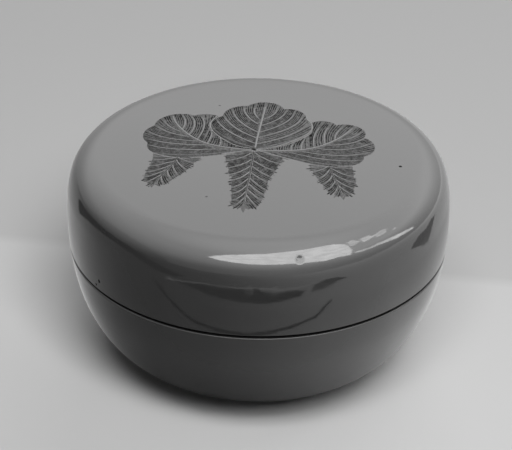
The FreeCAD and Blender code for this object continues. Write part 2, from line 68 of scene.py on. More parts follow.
# Veins of the crest seen from above, in millimetres right of and away from the lid's axis. Each
# side's curves run from the leaf's edge in to the midrib, and follow each other round the leaf.
# "edge" curves only guide the fine lines between veins and aren't drawn.
LEAF_VEINS = {
    "leaf_centre": {
        "strengths": (1.0, 0.7),
        "midrib": [(1.1, 18.5), (0.7, 14.5), (0, 9), (-0.5, 4.3), (-0.8, 0.7)],
        "sides": [
            [("edge", [(1.0, 18.6), (0.7, 15.6), (0.3, 13.0)]),
             ("vein", [(-1.0, 17.9), (-1.4, 16.2), (-0.9, 14.2), (-0.1, 13.0)]),
             ("vein", [(-3.2, 17.8), (-3.2, 15.3), (-2.2, 12.9), (-0.3, 10.7)]),
             ("vein", [(-5.4, 16.2), (-5.0, 13.0), (-3.3, 9.9), (-0.4, 7.2)]),
             ("vein", [(-7.0, 13.4), (-5.9, 9.9), (-4.0, 7.2), (-0.7, 4.8)]),
             ("vein", [(-8.5, 12.0), (-7.5, 8.6), (-4.9, 5.4), (-0.9, 2.4)]),
             ("edge", [(-9.6, 10.2), (-8.8, 6.4), (-5.6, 3.0), (-1.0, 0.8)])],
            [("edge", [(1.2, 18.6), (0.8, 15.6), (0.5, 13.0)]),
             ("vein", [(3.5, 17.2), (3.2, 15.4), (2.5, 14.1), (0.6, 12.7)]),
             ("vein", [(5.2, 16.0), (4.6, 13.9), (3.2, 11.9), (0.4, 10.1)]),
             ("vein", [(6.9, 15.6), (6.4, 12.7), (4.4, 9.8), (0.1, 7.2)]),
             ("vein", [(8.5, 14.0), (7.9, 10.9), (5.6, 7.8), (-0.3, 5.0)]),
             ("vein", [(9.3, 10.2), (7.4, 7.0), (4.6, 4.3), (-0.5, 2.2)]),
             ("edge", [(9.2, 5.9), (6.4, 3.8), (3.0, 1.7), (-0.6, 0.3)])],
        ],
    },
    "leaf_left": {
        "strengths": (0.95, 0.75),
        "midrib": [(-17.5, 14.2), (-17.1, 11.6), (-15.3, 7.6), (-12.3, 3.5), (-8.7, 0.8),
                   (-1.6, -0.3)],
        "sides": [
            [("edge", [(-17.4, 14.4), (-17.0, 11.8), (-16.2, 9.6)]),
             ("vein", [(-15.6, 14.6), (-14.7, 12.4), (-14.8, 10.2), (-15.5, 8.3)]),
             ("vein", [(-13.7, 13.9), (-12.7, 11.6), (-12.8, 8.9), (-14.0, 6.1)]),
             ("vein", [(-11.5, 13.2), (-10.7, 10.6), (-11.1, 7.4), (-12.3, 4.1)]),
             ("edge", [(-8.9, 13.9), (-9.8, 11.0), (-10.2, 7.5), (-11.2, 3.2)]),
             ("vein", [(-9.6, 8.4), (-9.4, 6.3), (-9.6, 4.3), (-10.3, 2.3)]),
             ("vein", [(-7.9, 5.0), (-7.5, 3.8), (-7.5, 2.4), (-8.0, 0.9)]),
             ("edge", [(-5.2, 2.6), (-4.6, 1.9), (-4.2, 1.2), (-4.4, 0.3)])],
            [("edge", [(-17.8, 14.0), (-17.3, 11.4), (-16.3, 9.0)]),
             ("vein", [(-19.2, 12.3), (-18.7, 10.4), (-17.6, 8.8), (-15.8, 7.4)]),
             ("vein", [(-20.4, 9.6), (-18.9, 7.5), (-16.6, 5.9), (-14.0, 5.2)]),
             ("vein", [(-22.0, 7.6), (-20.2, 5.3), (-17.0, 3.9), (-12.8, 3.4)]),
             ("vein", [(-21.9, 4.4), (-19.0, 2.6), (-15.0, 1.7), (-10.6, 1.7)]),
             ("vein", [(-21.8, 2.0), (-18.6, 0.1), (-14.2, -0.6), (-8.6, 0.0)]),
             ("edge", [(-20.7, -1.1), (-16.4, -2.9), (-11.0, -2.4), (-5.0, -0.9)])],
        ],
    },
    "leaf_right": {
        "strengths": (0.9, 0.6),
        "midrib": [(18.6, 9.9), (17.1, 7.0), (14.0, 3.2), (10.3, 0.6), (6.5, -0.5), (0.5, -0.5)],
        "sides": [
            [("edge", [(18.5, 9.9), (17.3, 7.6), (16.0, 5.7)]),
             ("vein", [(16.4, 9.9), (15.4, 8.2), (14.9, 6.4), (14.9, 4.5)]),
             ("vein", [(13.6, 9.7), (12.8, 7.4), (12.6, 5.2), (13.0, 2.6)]),
             ("vein", [(12.0, 9.9), (10.8, 7.0), (10.4, 4.2), (10.8, 1.2)]),
             ("edge", [(10.3, 13.0), (9.9, 9.5), (9.6, 6.0), (9.9, 0.8)]),
             ("vein", [(9.2, 5.2), (8.5, 3.5), (8.1, 1.9), (8.3, 0.2)]),
             ("vein", [(6.8, 2.9), (6.3, 1.7), (6.1, 0.6), (6.3, -0.4)]),
             ("edge", [(3.0, 0.8), (3.0, 0.3), (3.0, -0.2), (3.2, -0.4)])],
            [("edge", [(18.8, 9.8), (17.5, 7.4), (16.1, 5.4)]),
             ("vein", [(20.2, 8.4), (19.3, 6.5), (17.7, 5.2), (15.6, 4.6)]),
             ("vein", [(20.9, 6.0), (19.2, 3.9), (17.0, 2.7), (13.6, 2.4)]),
             ("vein", [(21.6, 3.6), (19.0, 1.2), (16.0, 0.1), (11.8, 0.9)]),
             ("vein", [(20.4, -0.6), (17.0, -1.9), (13.2, -2.1), (8.6, -0.6)]),
             ("vein", [(18.9, -3.4), (15.2, -4.1), (11.6, -3.6), (6.4, -1.2)]),
             ("edge", [(17.6, -5.4), (14.0, -5.7), (10.2, -5.2), (3.0, -1.2)])],
        ],
    },
}

RACEME_VEINS = {
    "raceme_centre": {
        "midrib": [(-1.1, -1.0), (-1.3, -3.8), (-1.7, -9.6), (-2.3, -15.3), (-2.7, -20.4)],
        "sides": [
            [("edge", [(-6.5, -2.2), (-4.6, -2.3), (-2.9, -1.9), (-1.5, -1.1)]),
             ("vein", [(-6.5, -4.6), (-4.9, -4.4), (-3.0, -3.3), (-1.4, -1.4)]),
             ("vein", [(-6.3, -7.4), (-4.8, -7.2), (-3.0, -6.1), (-1.5, -4.2)]),
             ("vein", [(-6.1, -9.9), (-4.6, -9.8), (-3.0, -8.6), (-1.7, -6.6)]),
             ("vein", [(-5.8, -12.1), (-4.4, -12.1), (-3.0, -11.0), (-1.8, -8.9)]),
             ("vein", [(-5.6, -14.7), (-4.4, -14.7), (-3.1, -13.5), (-2.0, -11.3)]),
             ("vein", [(-5.4, -17.0), (-4.4, -17.0), (-3.2, -16.0), (-2.3, -13.8)]),
             ("vein", [(-5.3, -19.4), (-4.4, -19.3), (-3.3, -18.3), (-2.5, -16.2)]),
             ("vein", [(-5.0, -21.6), (-4.3, -21.2), (-3.5, -20.0), (-2.7, -18.4)]),
             ("edge", [(-3.4, -22.6), (-3.2, -22.0), (-2.9, -21.2), (-2.7, -20.4)])],
            [("edge", [(4.6, -2.4), (2.9, -2.5), (1.0, -2.0), (-0.8, -1.0)]),
             ("vein", [(4.4, -5.7), (2.7, -5.3), (0.7, -3.8), (-0.9, -1.3)]),
             ("vein", [(3.3, -8.4), (1.9, -7.8), (0.4, -6.6), (-1.1, -4.6)]),
             ("vein", [(2.6, -10.9), (1.2, -10.0), (0.0, -8.8), (-1.3, -6.8)]),
             ("vein", [(1.9, -12.9), (0.8, -12.1), (-0.5, -10.9), (-1.5, -9.2)]),
             ("vein", [(1.6, -15.8), (0.5, -14.9), (-0.6, -13.4), (-1.7, -11.3)]),
             ("vein", [(1.2, -17.6), (0.2, -16.8), (-0.9, -15.4), (-1.9, -13.5)]),
             ("vein", [(0.7, -19.5), (-0.1, -18.8), (-1.1, -17.5), (-2.1, -15.6)]),
             ("vein", [(-0.3, -21.7), (-0.8, -20.8), (-1.5, -19.5), (-2.3, -17.6)]),
             ("edge", [(-2.0, -22.4), (-2.2, -21.9), (-2.5, -21.2), (-2.6, -20.4)])],
        ],
    },
    "raceme_left": {
        "midrib": [(-16.0, -3.3), (-16.6, -5.7), (-18.0, -8.6), (-19.3, -11.2), (-19.9, -13.4)],
        "sides": [
            [("edge", [(-20.6, -2.6), (-19.2, -2.9), (-17.6, -3.0), (-16.1, -2.9)]),
             ("vein", [(-20.7, -4.0), (-19.3, -4.1), (-17.6, -3.9), (-16.1, -3.3)]),
             ("vein", [(-21.0, -6.3), (-19.7, -6.3), (-18.1, -5.5), (-16.5, -4.6)]),
             ("vein", [(-21.6, -8.6), (-20.3, -8.5), (-18.9, -7.7), (-17.2, -6.3)]),
             ("vein", [(-22.0, -10.6), (-20.9, -10.4), (-19.6, -9.5), (-18.1, -8.1)]),
             ("vein", [(-21.8, -12.6), (-21.1, -12.2), (-20.1, -11.3), (-18.9, -9.9)]),
             ("edge", [(-20.6, -14.4), (-20.3, -13.9), (-20.0, -13.2), (-19.6, -12.4)])],
            [("edge", [(-11.5, -3.4), (-12.8, -3.4), (-14.3, -3.2), (-15.8, -3.0)]),
             ("vein", [(-12.6, -5.6), (-13.6, -5.2), (-14.7, -4.3), (-15.9, -3.3)]),
             ("vein", [(-13.9, -8.4), (-14.6, -7.5), (-15.5, -6.1), (-16.1, -4.4)]),
             ("vein", [(-15.3, -10.7), (-15.9, -9.6), (-16.6, -8.0), (-16.8, -6.0)]),
             ("vein", [(-16.6, -12.2), (-17.2, -11.1), (-17.7, -9.6), (-17.7, -8.1)]),
             ("vein", [(-18.1, -13.6), (-18.6, -12.7), (-18.9, -11.4), (-18.8, -10.2)]),
             ("edge", [(-19.3, -14.2), (-19.4, -13.7), (-19.5, -13.1), (-19.6, -12.4)])],
        ],
    },
    "raceme_right": {
        "midrib": [(13.6, -6.2), (14.0, -8.7), (14.8, -11.6), (15.4, -14.6), (16.1, -17.8)],
        "sides": [
            [("edge", [(9.8, -6.6), (11.2, -6.6), (12.4, -6.3), (13.5, -5.9)]),
             ("vein", [(10.0, -8.5), (11.4, -8.1), (12.6, -7.1), (13.5, -6.0)]),
             ("vein", [(11.1, -11.2), (12.2, -10.4), (13.1, -9.1), (13.6, -7.3)]),
             ("vein", [(12.1, -13.1), (13.1, -12.3), (13.8, -11.1), (14.1, -9.5)]),
             ("vein", [(12.9, -15.0), (13.8, -14.2), (14.3, -13.1), (14.6, -11.6)]),
             ("vein", [(14.0, -16.9), (14.6, -16.0), (14.9, -14.9), (15.1, -13.5)]),
             ("edge", [(15.4, -17.8), (15.6, -17.3), (15.7, -16.8), (15.8, -16.2)])],
            [("edge", [(18.2, -6.4), (16.7, -6.6), (15.2, -6.5), (13.9, -6.1)]),
             ("vein", [(18.3, -9.6), (16.8, -9.4), (15.2, -8.4), (13.9, -6.6)]),
             ("vein", [(18.5, -11.8), (17.0, -11.4), (15.5, -10.4), (14.3, -8.8)]),
             ("vein", [(18.3, -14.2), (17.0, -13.6), (15.8, -12.6), (14.8, -11.0)]),
             ("vein", [(17.8, -16.3), (16.9, -15.6), (16.0, -14.6), (15.2, -13.1)]),
             ("edge", [(16.9, -17.6), (16.5, -17.0), (16.2, -16.3), (15.9, -15.5)])],
        ],
    },
}

# Light lines where the leaves meet, and the dark knot of their stems.
LEAF_RIMS = [
    [(-8.7, 13.9), (-9.6, 12.2), (-10.0, 10.5), (-9.7, 8.5), (-9.0, 6.7), (-7.5, 4.3),
     (-5.8, 2.4), (-3.8, 0.8), (-1.8, 0.4)],
    [(9.1, 13.6), (10.2, 12.3), (10.7, 10.5), (10.4, 8.3), (9.3, 6.4), (7.5, 4.5), (5.2, 2.4),
     (2.7, 0.9), (0.1, 0.2)],
    [(-1.3, -0.5), (-3.2, -0.8), (-5.2, -1.3), (-7.4, -2.0)],
    [(-0.7, -0.5), (1.5, -1.4), (4.3, -2.9), (5.8, -3.8)],
]
STEM_KNOT = [(-1.5, 0.25), (-1.1, 0.0), (-0.7, -0.3)]


def length_property(name, description, millimetres):
    """A user's length, given in millimetres."""
    return FloatProperty(name=name, description=description, default=millimetres * MM,
                         unit="LENGTH", precision=6)


def angle_property(name, description, degrees):
    """A user's angle, given in degrees."""
    return FloatProperty(name=name, description=description, default=math.radians(degrees),
                         subtype="ANGLE")


def colour_property(name, description, default):
    """A user's colour, given and kept as an sRGB hex value's three parts."""
    return FloatVectorProperty(
        name=name, description=description, subtype="COLOR_GAMMA", size=3, min=0, max=1,
        default=[int(default[i:i + 2], 16) / 255 for i in (1, 3, 5)])


class BoxSizes(bpy.types.PropertyGroup):
    """Sizes of the turned shells. Angles run from level to the surface's outward normal."""
    wall_arc_radius: length_property(
        "Wall Arc", "Arc of the side wall, shared across the seam", 59)
    widest_rise: length_property(
        "Widest Rise", "Height of the widest line above the seam", 5.8)
    upper_wall_angle: angle_property(
        "Upper Wall Angle", "Where the wall gives way to the haunch", 5)
    haunch_radius: length_property(
        "Haunch Arc", "Arc that starts to turn the wall in towards the top", 12.5)
    haunch_angle: angle_property(
        "Haunch Angle", "Where the haunch gives way to the shoulder", 20)
    shoulder_radius: length_property(
        "Shoulder Arc", "Tight arc between the haunch and the top", 6.4)
    dome_radius: length_property(
        "Dome", "Very shallow crown of the top", 515)
    lower_wall_angle: angle_property(
        "Lower Wall Angle", "Where the wall gives way to the flank", 11)
    flank_radius: length_property(
        "Flank Arc", "Arc of the bowl under the side wall", 33)
    flank_angle: angle_property(
        "Flank Angle", "Where the flank gives way to the hip", 30)
    hip_radius: length_property(
        "Hip Arc", "Rounder arc that turns the bowl under", 19)
    hip_angle: angle_property(
        "Hip Angle", "Where the hip gives way to the belly", 55)
    belly_radius: length_property(
        "Belly Arc", "Flatter arc that runs in to the foot", 42)
    turned_wall: length_property(
        "Wall", "Wood left between the outside and the hollow", 3.8)
    foot_radius: length_property(
        "Foot", "Outside radius of the foot ring", 17)
    foot_ring_width: length_property(
        "Foot Ring", "Standing width of the foot ring", 1.8)
    foot_recess_depth: length_property(
        "Foot Recess", "Hollow turned inside the foot ring", 0.8)
    foot_rounding: length_property(
        "Foot Rounding", "Softened edges of the foot ring", 0.25)
    lip_rounding: length_property(
        "Lip Rounding", "Softened outer edge of the lid's mouth", 0.1)
    mouth_rounding: length_property(
        "Mouth Rounding", "Softened outer edge of the base's mouth", 0.25)
    seam_gap: length_property(
        "Seam", "Height of the dark line between the lips", 0.65)
    seam_depth: length_property(
        "Seam Depth", "How far in from the outside the lips meet", 1.1)
    collar_thickness: length_property(
        "Collar", "Wall of the standing collar", 1.5)
    collar_rounding: length_property(
        "Collar Rounding", "Rounded top edges of the collar", 0.5)
    lid_fit_gap: length_property(
        "Fit", "Radial gap between the collar and the lid's rebate", 0.15)
    collar_headroom: length_property(
        "Headroom", "Gap over the collar inside the lid", 0.35)
    segments: IntProperty(
        name="Segments", description="Facets round each turned piece", default=256, min=24)


class CrestSizes(bpy.types.PropertyGroup):
    """Sizes of the crest's layers and lines.

    The real fine lines are thinner and closer than the photo shows, so that they are drawn coarser.
    """
    layer: length_property(
        "Layer", "How far the crest stands proud of the lid", 0.02)
    vein_width: length_property(
        "Veins", "Width of the light veins", 0.24)
    midrib_width: length_property(
        "Midribs", "Width of the light midribs", 0.34)
    stem_width: length_property(
        "Stems", "Width of the dark stems of the flower spikes", 0.156)
    hairline_width: length_property(
        "Hairlines", "Width of the fine dark lines between veins", 0.22)
    hairline_spacing: length_property(
        "Hairline Spacing", "Distance between neighbouring fine lines", 0.4)
    whiskers: length_property(
        "Whiskers", "How far the flower spikes' fine lines pass their edges", 0.55)


class Finishes(bpy.types.PropertyGroup):
    """Colours of the finishes, as sRGB."""
    lacquer: colour_property("Lacquer", "Polished lacquer outside", "#282828")
    inside: colour_property("Inside", "Lacquer in the hollow", "#1c1c1c")
    crest: colour_property("Crest", "Ground of the crest's leaves", "#525252")
    hairline: colour_property("Hairlines", "Fine dark lines of the crest", "#242424")
    vein: colour_property("Veins", "Light veins of the crest", "#6c6c6c")


def srgb_to_linear(value):
    """One sRGB part from 0 to 1 as linear light."""
    if value <= 0.04045:
        return value / 12.92
    return ((value + 0.055) / 1.055) ** 2.4


def linear(colour):
    """A linear colour with full alpha, from an sRGB hex text or three sRGB parts."""
    if isinstance(colour, str):
        colour = [int(colour[i:i + 2], 16) / 255 for i in (1, 3, 5)]
    return (*[srgb_to_linear(part) for part in colour], 1.0)


def add_node(tree, kind, inputs=None, **settings):
    """Add a node, make its settings, then set or link its inputs by name or number.

    A node that is given for an input stands for the first of its outputs that is in use.
    """
    node = tree.nodes.new(kind)
    for name, value in settings.items():
        setattr(node, name, value)
    for key, value in (inputs or {}).items():
        if isinstance(value, bpy.types.Node):
            value = next(socket for socket in value.outputs if socket.enabled)
        if isinstance(value, bpy.types.NodeSocket):
            tree.links.new(value, node.inputs[key])
        else:
            node.inputs[key].default_value = value
    return node


def add_object(name, data):
    """A new object in the scene, for some data."""
    added = bpy.data.objects.new(name, data)
    bpy.context.scene.collection.objects.link(added)
    return added


def new_tree(name, inputs):
    """An empty geometry tree with named inputs besides its geometry. Returns tree and sockets."""
    tree = bpy.data.node_groups.new(name, "GeometryNodeTree")
    tree.interface.new_socket("Geometry", in_out="INPUT", socket_type="NodeSocketGeometry")
    tree.interface.new_socket("Geometry", in_out="OUTPUT", socket_type="NodeSocketGeometry")
    for label, kind in inputs:
        tree.interface.new_socket(label, in_out="INPUT", socket_type=kind)
    return tree, add_node(tree, "NodeGroupInput").outputs


def finish_tree(tree, geometry):
    """Lead a tree's result to its output."""
    add_node(tree, "NodeGroupOutput", {0: geometry})


def grown(source, tree, values, name):
    """Run a tree on an object with the given inputs and keep the result as a plain mesh piece."""
    modifier = source.modifiers.new(tree.name, "NODES")
    modifier.node_group = tree
    for item in tree.interface.items_tree:
        if item.in_out == "INPUT" and item.name in values:
            modifier[item.identifier] = values[item.name]
    bpy.context.view_layer.update()
    evaluated = source.evaluated_get(bpy.context.evaluated_depsgraph_get())
    mesh = bpy.data.meshes.new_from_object(evaluated)
    source.modifiers.remove(modifier)
    bpy.data.objects.remove(source)
    if not mesh.polygons:
        raise RuntimeError(f"{name} came out empty")
    mesh.name = name
    return add_object(name, mesh)


def run_of_arcs(centre, arcs, step):
    """Points of tangent arcs in a section, from (radius, start, stop) with angles from level.

    centre is the first arc's, and each later centre lies on the joint's normal.
    """
    points = []
    across, up = centre
    last_radius = None
    for radius, start, stop in arcs:
        if last_radius is not None:
            across += (last_radius - radius) * math.cos(start)
            up += (last_radius - radius) * math.sin(start)
        count = max(2, math.ceil(abs(stop - start) / step))
        for i in range(0 if not points else 1, count + 1):
            angle = start + (stop - start) * i / count
            points.append((across + radius * math.cos(angle), up + radius * math.sin(angle)))
        last_radius = radius
    return points


def rounded_corner(corner, before, after, radius, steps=5):
    """Points that round one corner of a section between its two neighbours."""
    def towards(place):
        length = math.dist(corner, place)
        return [(place[k] - corner[k]) / length for k in (0, 1)]
    one, other = towards(before), towards(after)
    half = math.acos(one[0] * other[0] + one[1] * other[1]) / 2
    reach = radius / math.tan(half)
    middle = [one[k] + other[k] for k in (0, 1)]
    size = math.hypot(*middle)
    centre = [corner[k] + middle[k] / size * radius / math.sin(half) for k in (0, 1)]
    first = [corner[k] + one[k] * reach for k in (0, 1)]
    last = [corner[k] + other[k] * reach for k in (0, 1)]
    start = math.atan2(first[1] - centre[1], first[0] - centre[0])
    sweep = math.atan2(last[1] - centre[1], last[0] - centre[0]) - start
    sweep = (sweep + math.pi) % FULL_TURN - math.pi
    return [(centre[0] + radius * math.cos(start + sweep * i / steps),
             centre[1] + radius * math.sin(start + sweep * i / steps)) for i in range(steps + 1)]


def support(start, stop, gap, rows=0):
    """Places along a straight stretch, close to both ends, so that smooth shading stays flat."""
    length = math.dist(start, stop)
    shares = [gap / length] + [(i + 1) / (rows + 1) for i in range(rows)] + [1 - gap / length]
    return [tuple(start[k] + (stop[k] - start[k]) * share for k in (0, 1)) for share in shares]


OUTSIDE_STEP = math.radians(1.2)
HOLLOW_STEP = math.radians(3)
DOME_ROWS = 16
EDGE_GAP = 0.06 * MM
CLOSING_DISTANCE = 0.002 * MM


class Profile:
    """Arc centres and heights that both shells share, worked out from the user's sizes."""

    def __init__(self, sizes):
        self.sizes = sizes
        self.widest_height = SEAM_HEIGHT + sizes.widest_rise
        self.wall_centre = (BOX_RADIUS - sizes.wall_arc_radius, self.widest_height)
        wall, haunch, shoulder = (
            sizes.wall_arc_radius, sizes.haunch_radius, sizes.shoulder_radius)
        across = (self.wall_centre[0] + (wall - haunch) * math.cos(sizes.upper_wall_angle)
                  + (haunch - shoulder) * math.cos(sizes.haunch_angle))
        self.crown_angle = math.acos(across / (sizes.dome_radius - sizes.shoulder_radius))
        self.dome_centre_height = LID_HIGH.z - sizes.dome_radius
        self.rim_radius = self.wall_radius(SEAM_HEIGHT)

    def wall_angle(self, height, inset=0.0):
        """Where the side wall's arc passes a height."""
        return math.asin((height - self.widest_height) / (self.sizes.wall_arc_radius - inset))

    def wall_radius(self, height, inset=0.0):
        return (self.wall_centre[0] + (self.sizes.wall_arc_radius - inset)
                * math.cos(self.wall_angle(height, inset)))

    def upper(self, inset, lowest, step):
        """The lid's section from a height on its wall up to the axis."""
        sizes = self.sizes
        wall_foot = self.wall_angle(lowest, inset)
        points = run_of_arcs(self.wall_centre, [
            (sizes.wall_arc_radius - inset, wall_foot, sizes.upper_wall_angle),
            (sizes.haunch_radius - inset, sizes.upper_wall_angle, sizes.haunch_angle),
            (sizes.shoulder_radius - inset, sizes.haunch_angle, self.crown_angle),
        ], step)
        edge = points[-1][0]
        dome = sizes.dome_radius - inset
        for i in range(1, DOME_ROWS + 1):
            radius = edge * (1 - i / DOME_ROWS)
            points.append((radius, self.dome_centre_height + math.sqrt(dome ** 2 - radius ** 2)))
        return points

    def lower(self, inset, highest, step):
        """The base's section from a height on its wall down to where the belly meets the foot."""
        sizes = self.sizes
        wall, flank, hip, belly = (
            sizes.wall_arc_radius, sizes.flank_radius, sizes.hip_radius, sizes.belly_radius)
        hip_foot = (self.wall_centre[0] + (wall - flank) * math.cos(sizes.lower_wall_angle)
                    + (flank - hip) * math.cos(sizes.flank_angle)
                    + (hip - belly) * math.cos(sizes.hip_angle))
        foot_tilt = math.acos((sizes.foot_radius - hip_foot) / belly)
        return run_of_arcs(self.wall_centre, [
            (wall - inset, self.wall_angle(highest, inset), -sizes.lower_wall_angle),
            (flank - inset, -sizes.lower_wall_angle, -sizes.flank_angle),
            (hip - inset, -sizes.flank_angle, -sizes.hip_angle),
            (belly - inset, -sizes.hip_angle, -foot_tilt),
        ], step)


def lid_profile(profile):
    """The lid's section from its top centre, over the outside, to the ceiling's centre.

    Also returns the number of the first point that lies in the seam or inside. From there on the
    darker hollow lacquer also paints shade into the seam's groove.
    """
    sizes = profile.sizes
    rebate = COLLAR_RADIUS + sizes.lid_fit_gap
    rebate_top = COLLAR_HIGH.z + sizes.collar_headroom
    outside = profile.upper(0, SEAM_HEIGHT, OUTSIDE_STEP)[::-1]
    above = SEAM_HEIGHT + sizes.seam_gap / 2
    rim, meeting = (profile.wall_radius(above), above), profile.rim_radius - sizes.seam_depth
    lip = rounded_corner(rim, outside[-2], (meeting, above), sizes.lip_rounding)
    points = [p for p in outside[:-1] if p[1] > lip[0][1] + EDGE_GAP]
    points += support(points[-1], lip[0], EDGE_GAP)[1:] + lip
    # From the lip's last point on, the darker hollow lacquer is painted shade in the seam's groove.
    first_dark_row = len(points) - 1
    points += support(lip[-1], (meeting, above), EDGE_GAP) + [(meeting, above)]
    points += [(meeting, SEAM_HEIGHT)]
    points += support((meeting, SEAM_HEIGHT), (rebate, SEAM_HEIGHT), EDGE_GAP)
    ceiling = profile.wall_radius(rebate_top, sizes.turned_wall)
    corners = [(rebate, SEAM_HEIGHT), (rebate, rebate_top), (ceiling, rebate_top)]
    for start, stop in zip(corners, corners[1:]):
        points += [start] + support(start, stop, EDGE_GAP / 2)
    points += profile.upper(sizes.turned_wall, rebate_top, HOLLOW_STEP)
    return points, first_dark_row


def base_profile(profile):
    """The base's section from under its foot, over the outside, to the floor's centre."""
    sizes = profile.sizes
    ring_inside = sizes.foot_radius - sizes.foot_ring_width
    recess = sizes.foot_recess_depth
    outside = profile.lower(0, SEAM_HEIGHT, OUTSIDE_STEP)[::-1]
    below = SEAM_HEIGHT - sizes.seam_gap / 2
    rim, meeting = (profile.wall_radius(below), below), profile.rim_radius - sizes.seam_depth
    points = [(0.0, recess), (ring_inside / 2, recess), (ring_inside - EDGE_GAP, recess)]
    inner_edge, outer_edge = (ring_inside, 0.0), (sizes.foot_radius, 0.0)
    points += [(ring_inside, recess), (ring_inside, recess - EDGE_GAP)]
    points += rounded_corner(inner_edge, points[-1], outer_edge, sizes.foot_rounding)
    sole = rounded_corner(outer_edge, inner_edge, outside[0], sizes.foot_rounding)
    points += support(points[-1], sole[0], EDGE_GAP) + sole
    points += support(sole[-1], outside[0], EDGE_GAP) + [outside[0]]
    lip = rounded_corner(rim, outside[-2], (meeting, below), sizes.mouth_rounding)
    points += [p for p in outside[1:-1] if p[1] < lip[0][1] - EDGE_GAP]
    points += support(points[-1], lip[0], EDGE_GAP)[1:] + lip
    # Painted shade: the darker hollow lacquer starts halfway round the mouth's rounding, so that it
    # darkens the seam's groove and narrows the light line under it.
    first_dark_row = len(points) - 1 - len(lip) // 2
    points += support(lip[-1], (meeting, below), EDGE_GAP) + [(meeting, below)]
    points += [(meeting, SEAM_HEIGHT)]
    points += support((meeting, SEAM_HEIGHT), (COLLAR_RADIUS, SEAM_HEIGHT), EDGE_GAP)
    ledge = profile.wall_radius(COLLAR_LOW.z, sizes.turned_wall)
    corners = [(COLLAR_RADIUS, SEAM_HEIGHT), (COLLAR_RADIUS, COLLAR_LOW.z), (ledge, COLLAR_LOW.z)]
    for start, stop in zip(corners, corners[1:]):
        points += [start] + support(start, stop, EDGE_GAP)
    points += profile.lower(sizes.turned_wall, COLLAR_LOW.z, HOLLOW_STEP)
    edge = points[-1]
    points += support(edge, (0.0, edge[1]), EDGE_GAP, rows=4)[:-1] + [(0.0, edge[1])]
    return points, first_dark_row


def collar_profile(profile):
    """The collar's section, closed on itself, from its outer foot up and over to its inner foot."""
    sizes = profile.sizes
    inner = COLLAR_RADIUS - sizes.collar_thickness
    low, high = COLLAR_LOW.z, COLLAR_HIGH.z
    outer_top, inner_top = (COLLAR_RADIUS, high), (inner, high)
    over = rounded_corner(outer_top, (COLLAR_RADIUS, low), inner_top, sizes.collar_rounding)
    under = rounded_corner(inner_top, outer_top, (inner, low), sizes.collar_rounding)
    points = [(COLLAR_RADIUS, low)] + support((COLLAR_RADIUS, low), over[0], EDGE_GAP, rows=2)
    points += over + support(over[-1], under[0], EDGE_GAP) + under
    points += support(under[-1], (inner, low), EDGE_GAP, rows=2) + [(inner, low)]
    points += support((inner, low), (COLLAR_RADIUS, low), EDGE_GAP) + [(COLLAR_RADIUS, low)]
    return points[::-1], len(points) + 1


def turning_tree():
    """Turn a section about the upright axis: its points give the rows, and a grid is bent round."""
    tree, given = new_tree("Turned Shell", [
        ("Segments", "NodeSocketInt"), ("First Dark Row", "NodeSocketInt"),
        ("From Below", "NodeSocketBool"),
        ("Outside Finish", "NodeSocketMaterial"), ("Inside Finish", "NodeSocketMaterial")])
    rows = add_node(tree, "GeometryNodeAttributeDomainSize", {0: given["Geometry"]})
    columns = add_node(tree, "FunctionNodeIntegerMath", {0: given["Segments"], 1: 1})
    grid = add_node(tree, "GeometryNodeMeshGrid", {
        "Vertices X": rows.outputs["Point Count"], "Vertices Y": columns})
    number = add_node(tree, "GeometryNodeInputIndex")
    row = add_node(tree, "FunctionNodeIntegerMath", {0: number, 1: columns},
                   operation="DIVIDE_FLOOR")
    column = add_node(tree, "FunctionNodeIntegerMath", {0: number, 1: columns},
                      operation="MODULO")
    place = add_node(tree, "GeometryNodeInputPosition")
    section = add_node(tree, "GeometryNodeSampleIndex", {
        "Geometry": given["Geometry"], "Value": place, "Index": row}, data_type="FLOAT_VECTOR")
    parts = add_node(tree, "ShaderNodeSeparateXYZ", {0: section}).outputs
    share = add_node(tree, "ShaderNodeMath", {0: column, 1: given["Segments"]},
                     operation="DIVIDE")
    angle = add_node(tree, "ShaderNodeMath", {0: share, 1: FULL_TURN}, operation="MULTIPLY")
    around = []
    for way in ("COSINE", "SINE"):
        turned = add_node(tree, "ShaderNodeMath", {0: angle}, operation=way)
        around.append(add_node(tree, "ShaderNodeMath", {0: turned, 1: parts["X"]},
                               operation="MULTIPLY"))
    spot = add_node(tree, "ShaderNodeCombineXYZ", {
        "X": around[0], "Y": around[1], "Z": parts["Z"]})
    kept = add_node(tree, "GeometryNodeStoreNamedAttribute", {
        "Geometry": grid, "Name": "row", "Value": row})
    bent = add_node(tree, "GeometryNodeSetPosition", {"Geometry": kept, "Position": spot})
    closed = add_node(tree, "GeometryNodeMergeByDistance", {
        "Geometry": bent, "Distance": CLOSING_DISTANCE})
    outward = add_node(tree, "GeometryNodeFlipFaces", {
        "Mesh": closed, "Selection": given["From Below"]})
    smooth = add_node(tree, "GeometryNodeSetShadeSmooth", {"Geometry": outward})
    real = add_node(tree, "GeometryNodeRealizeInstances", {"Geometry": smooth})
    outside = add_node(tree, "GeometryNodeSetMaterial", {
        "Geometry": real, "Material": given["Outside Finish"]})
    # Rows from the first dark row on take the inside finish: the hollows, and painted shade in the
    # seam's groove.
    row_of = add_node(tree, "GeometryNodeInputNamedAttribute", {"Name": "row"})
    within = add_node(tree, "FunctionNodeCompare", {
        "A": row_of, "B": given["First Dark Row"]}, operation="GREATER_EQUAL")
    inside = add_node(tree, "GeometryNodeSetMaterial", {
        "Geometry": outside, "Selection": within, "Material": given["Inside Finish"]})
    finish_tree(tree, add_node(tree, "GeometryNodeRemoveAttribute", {
        "Geometry": inside, "Name": "row"}))
    return tree


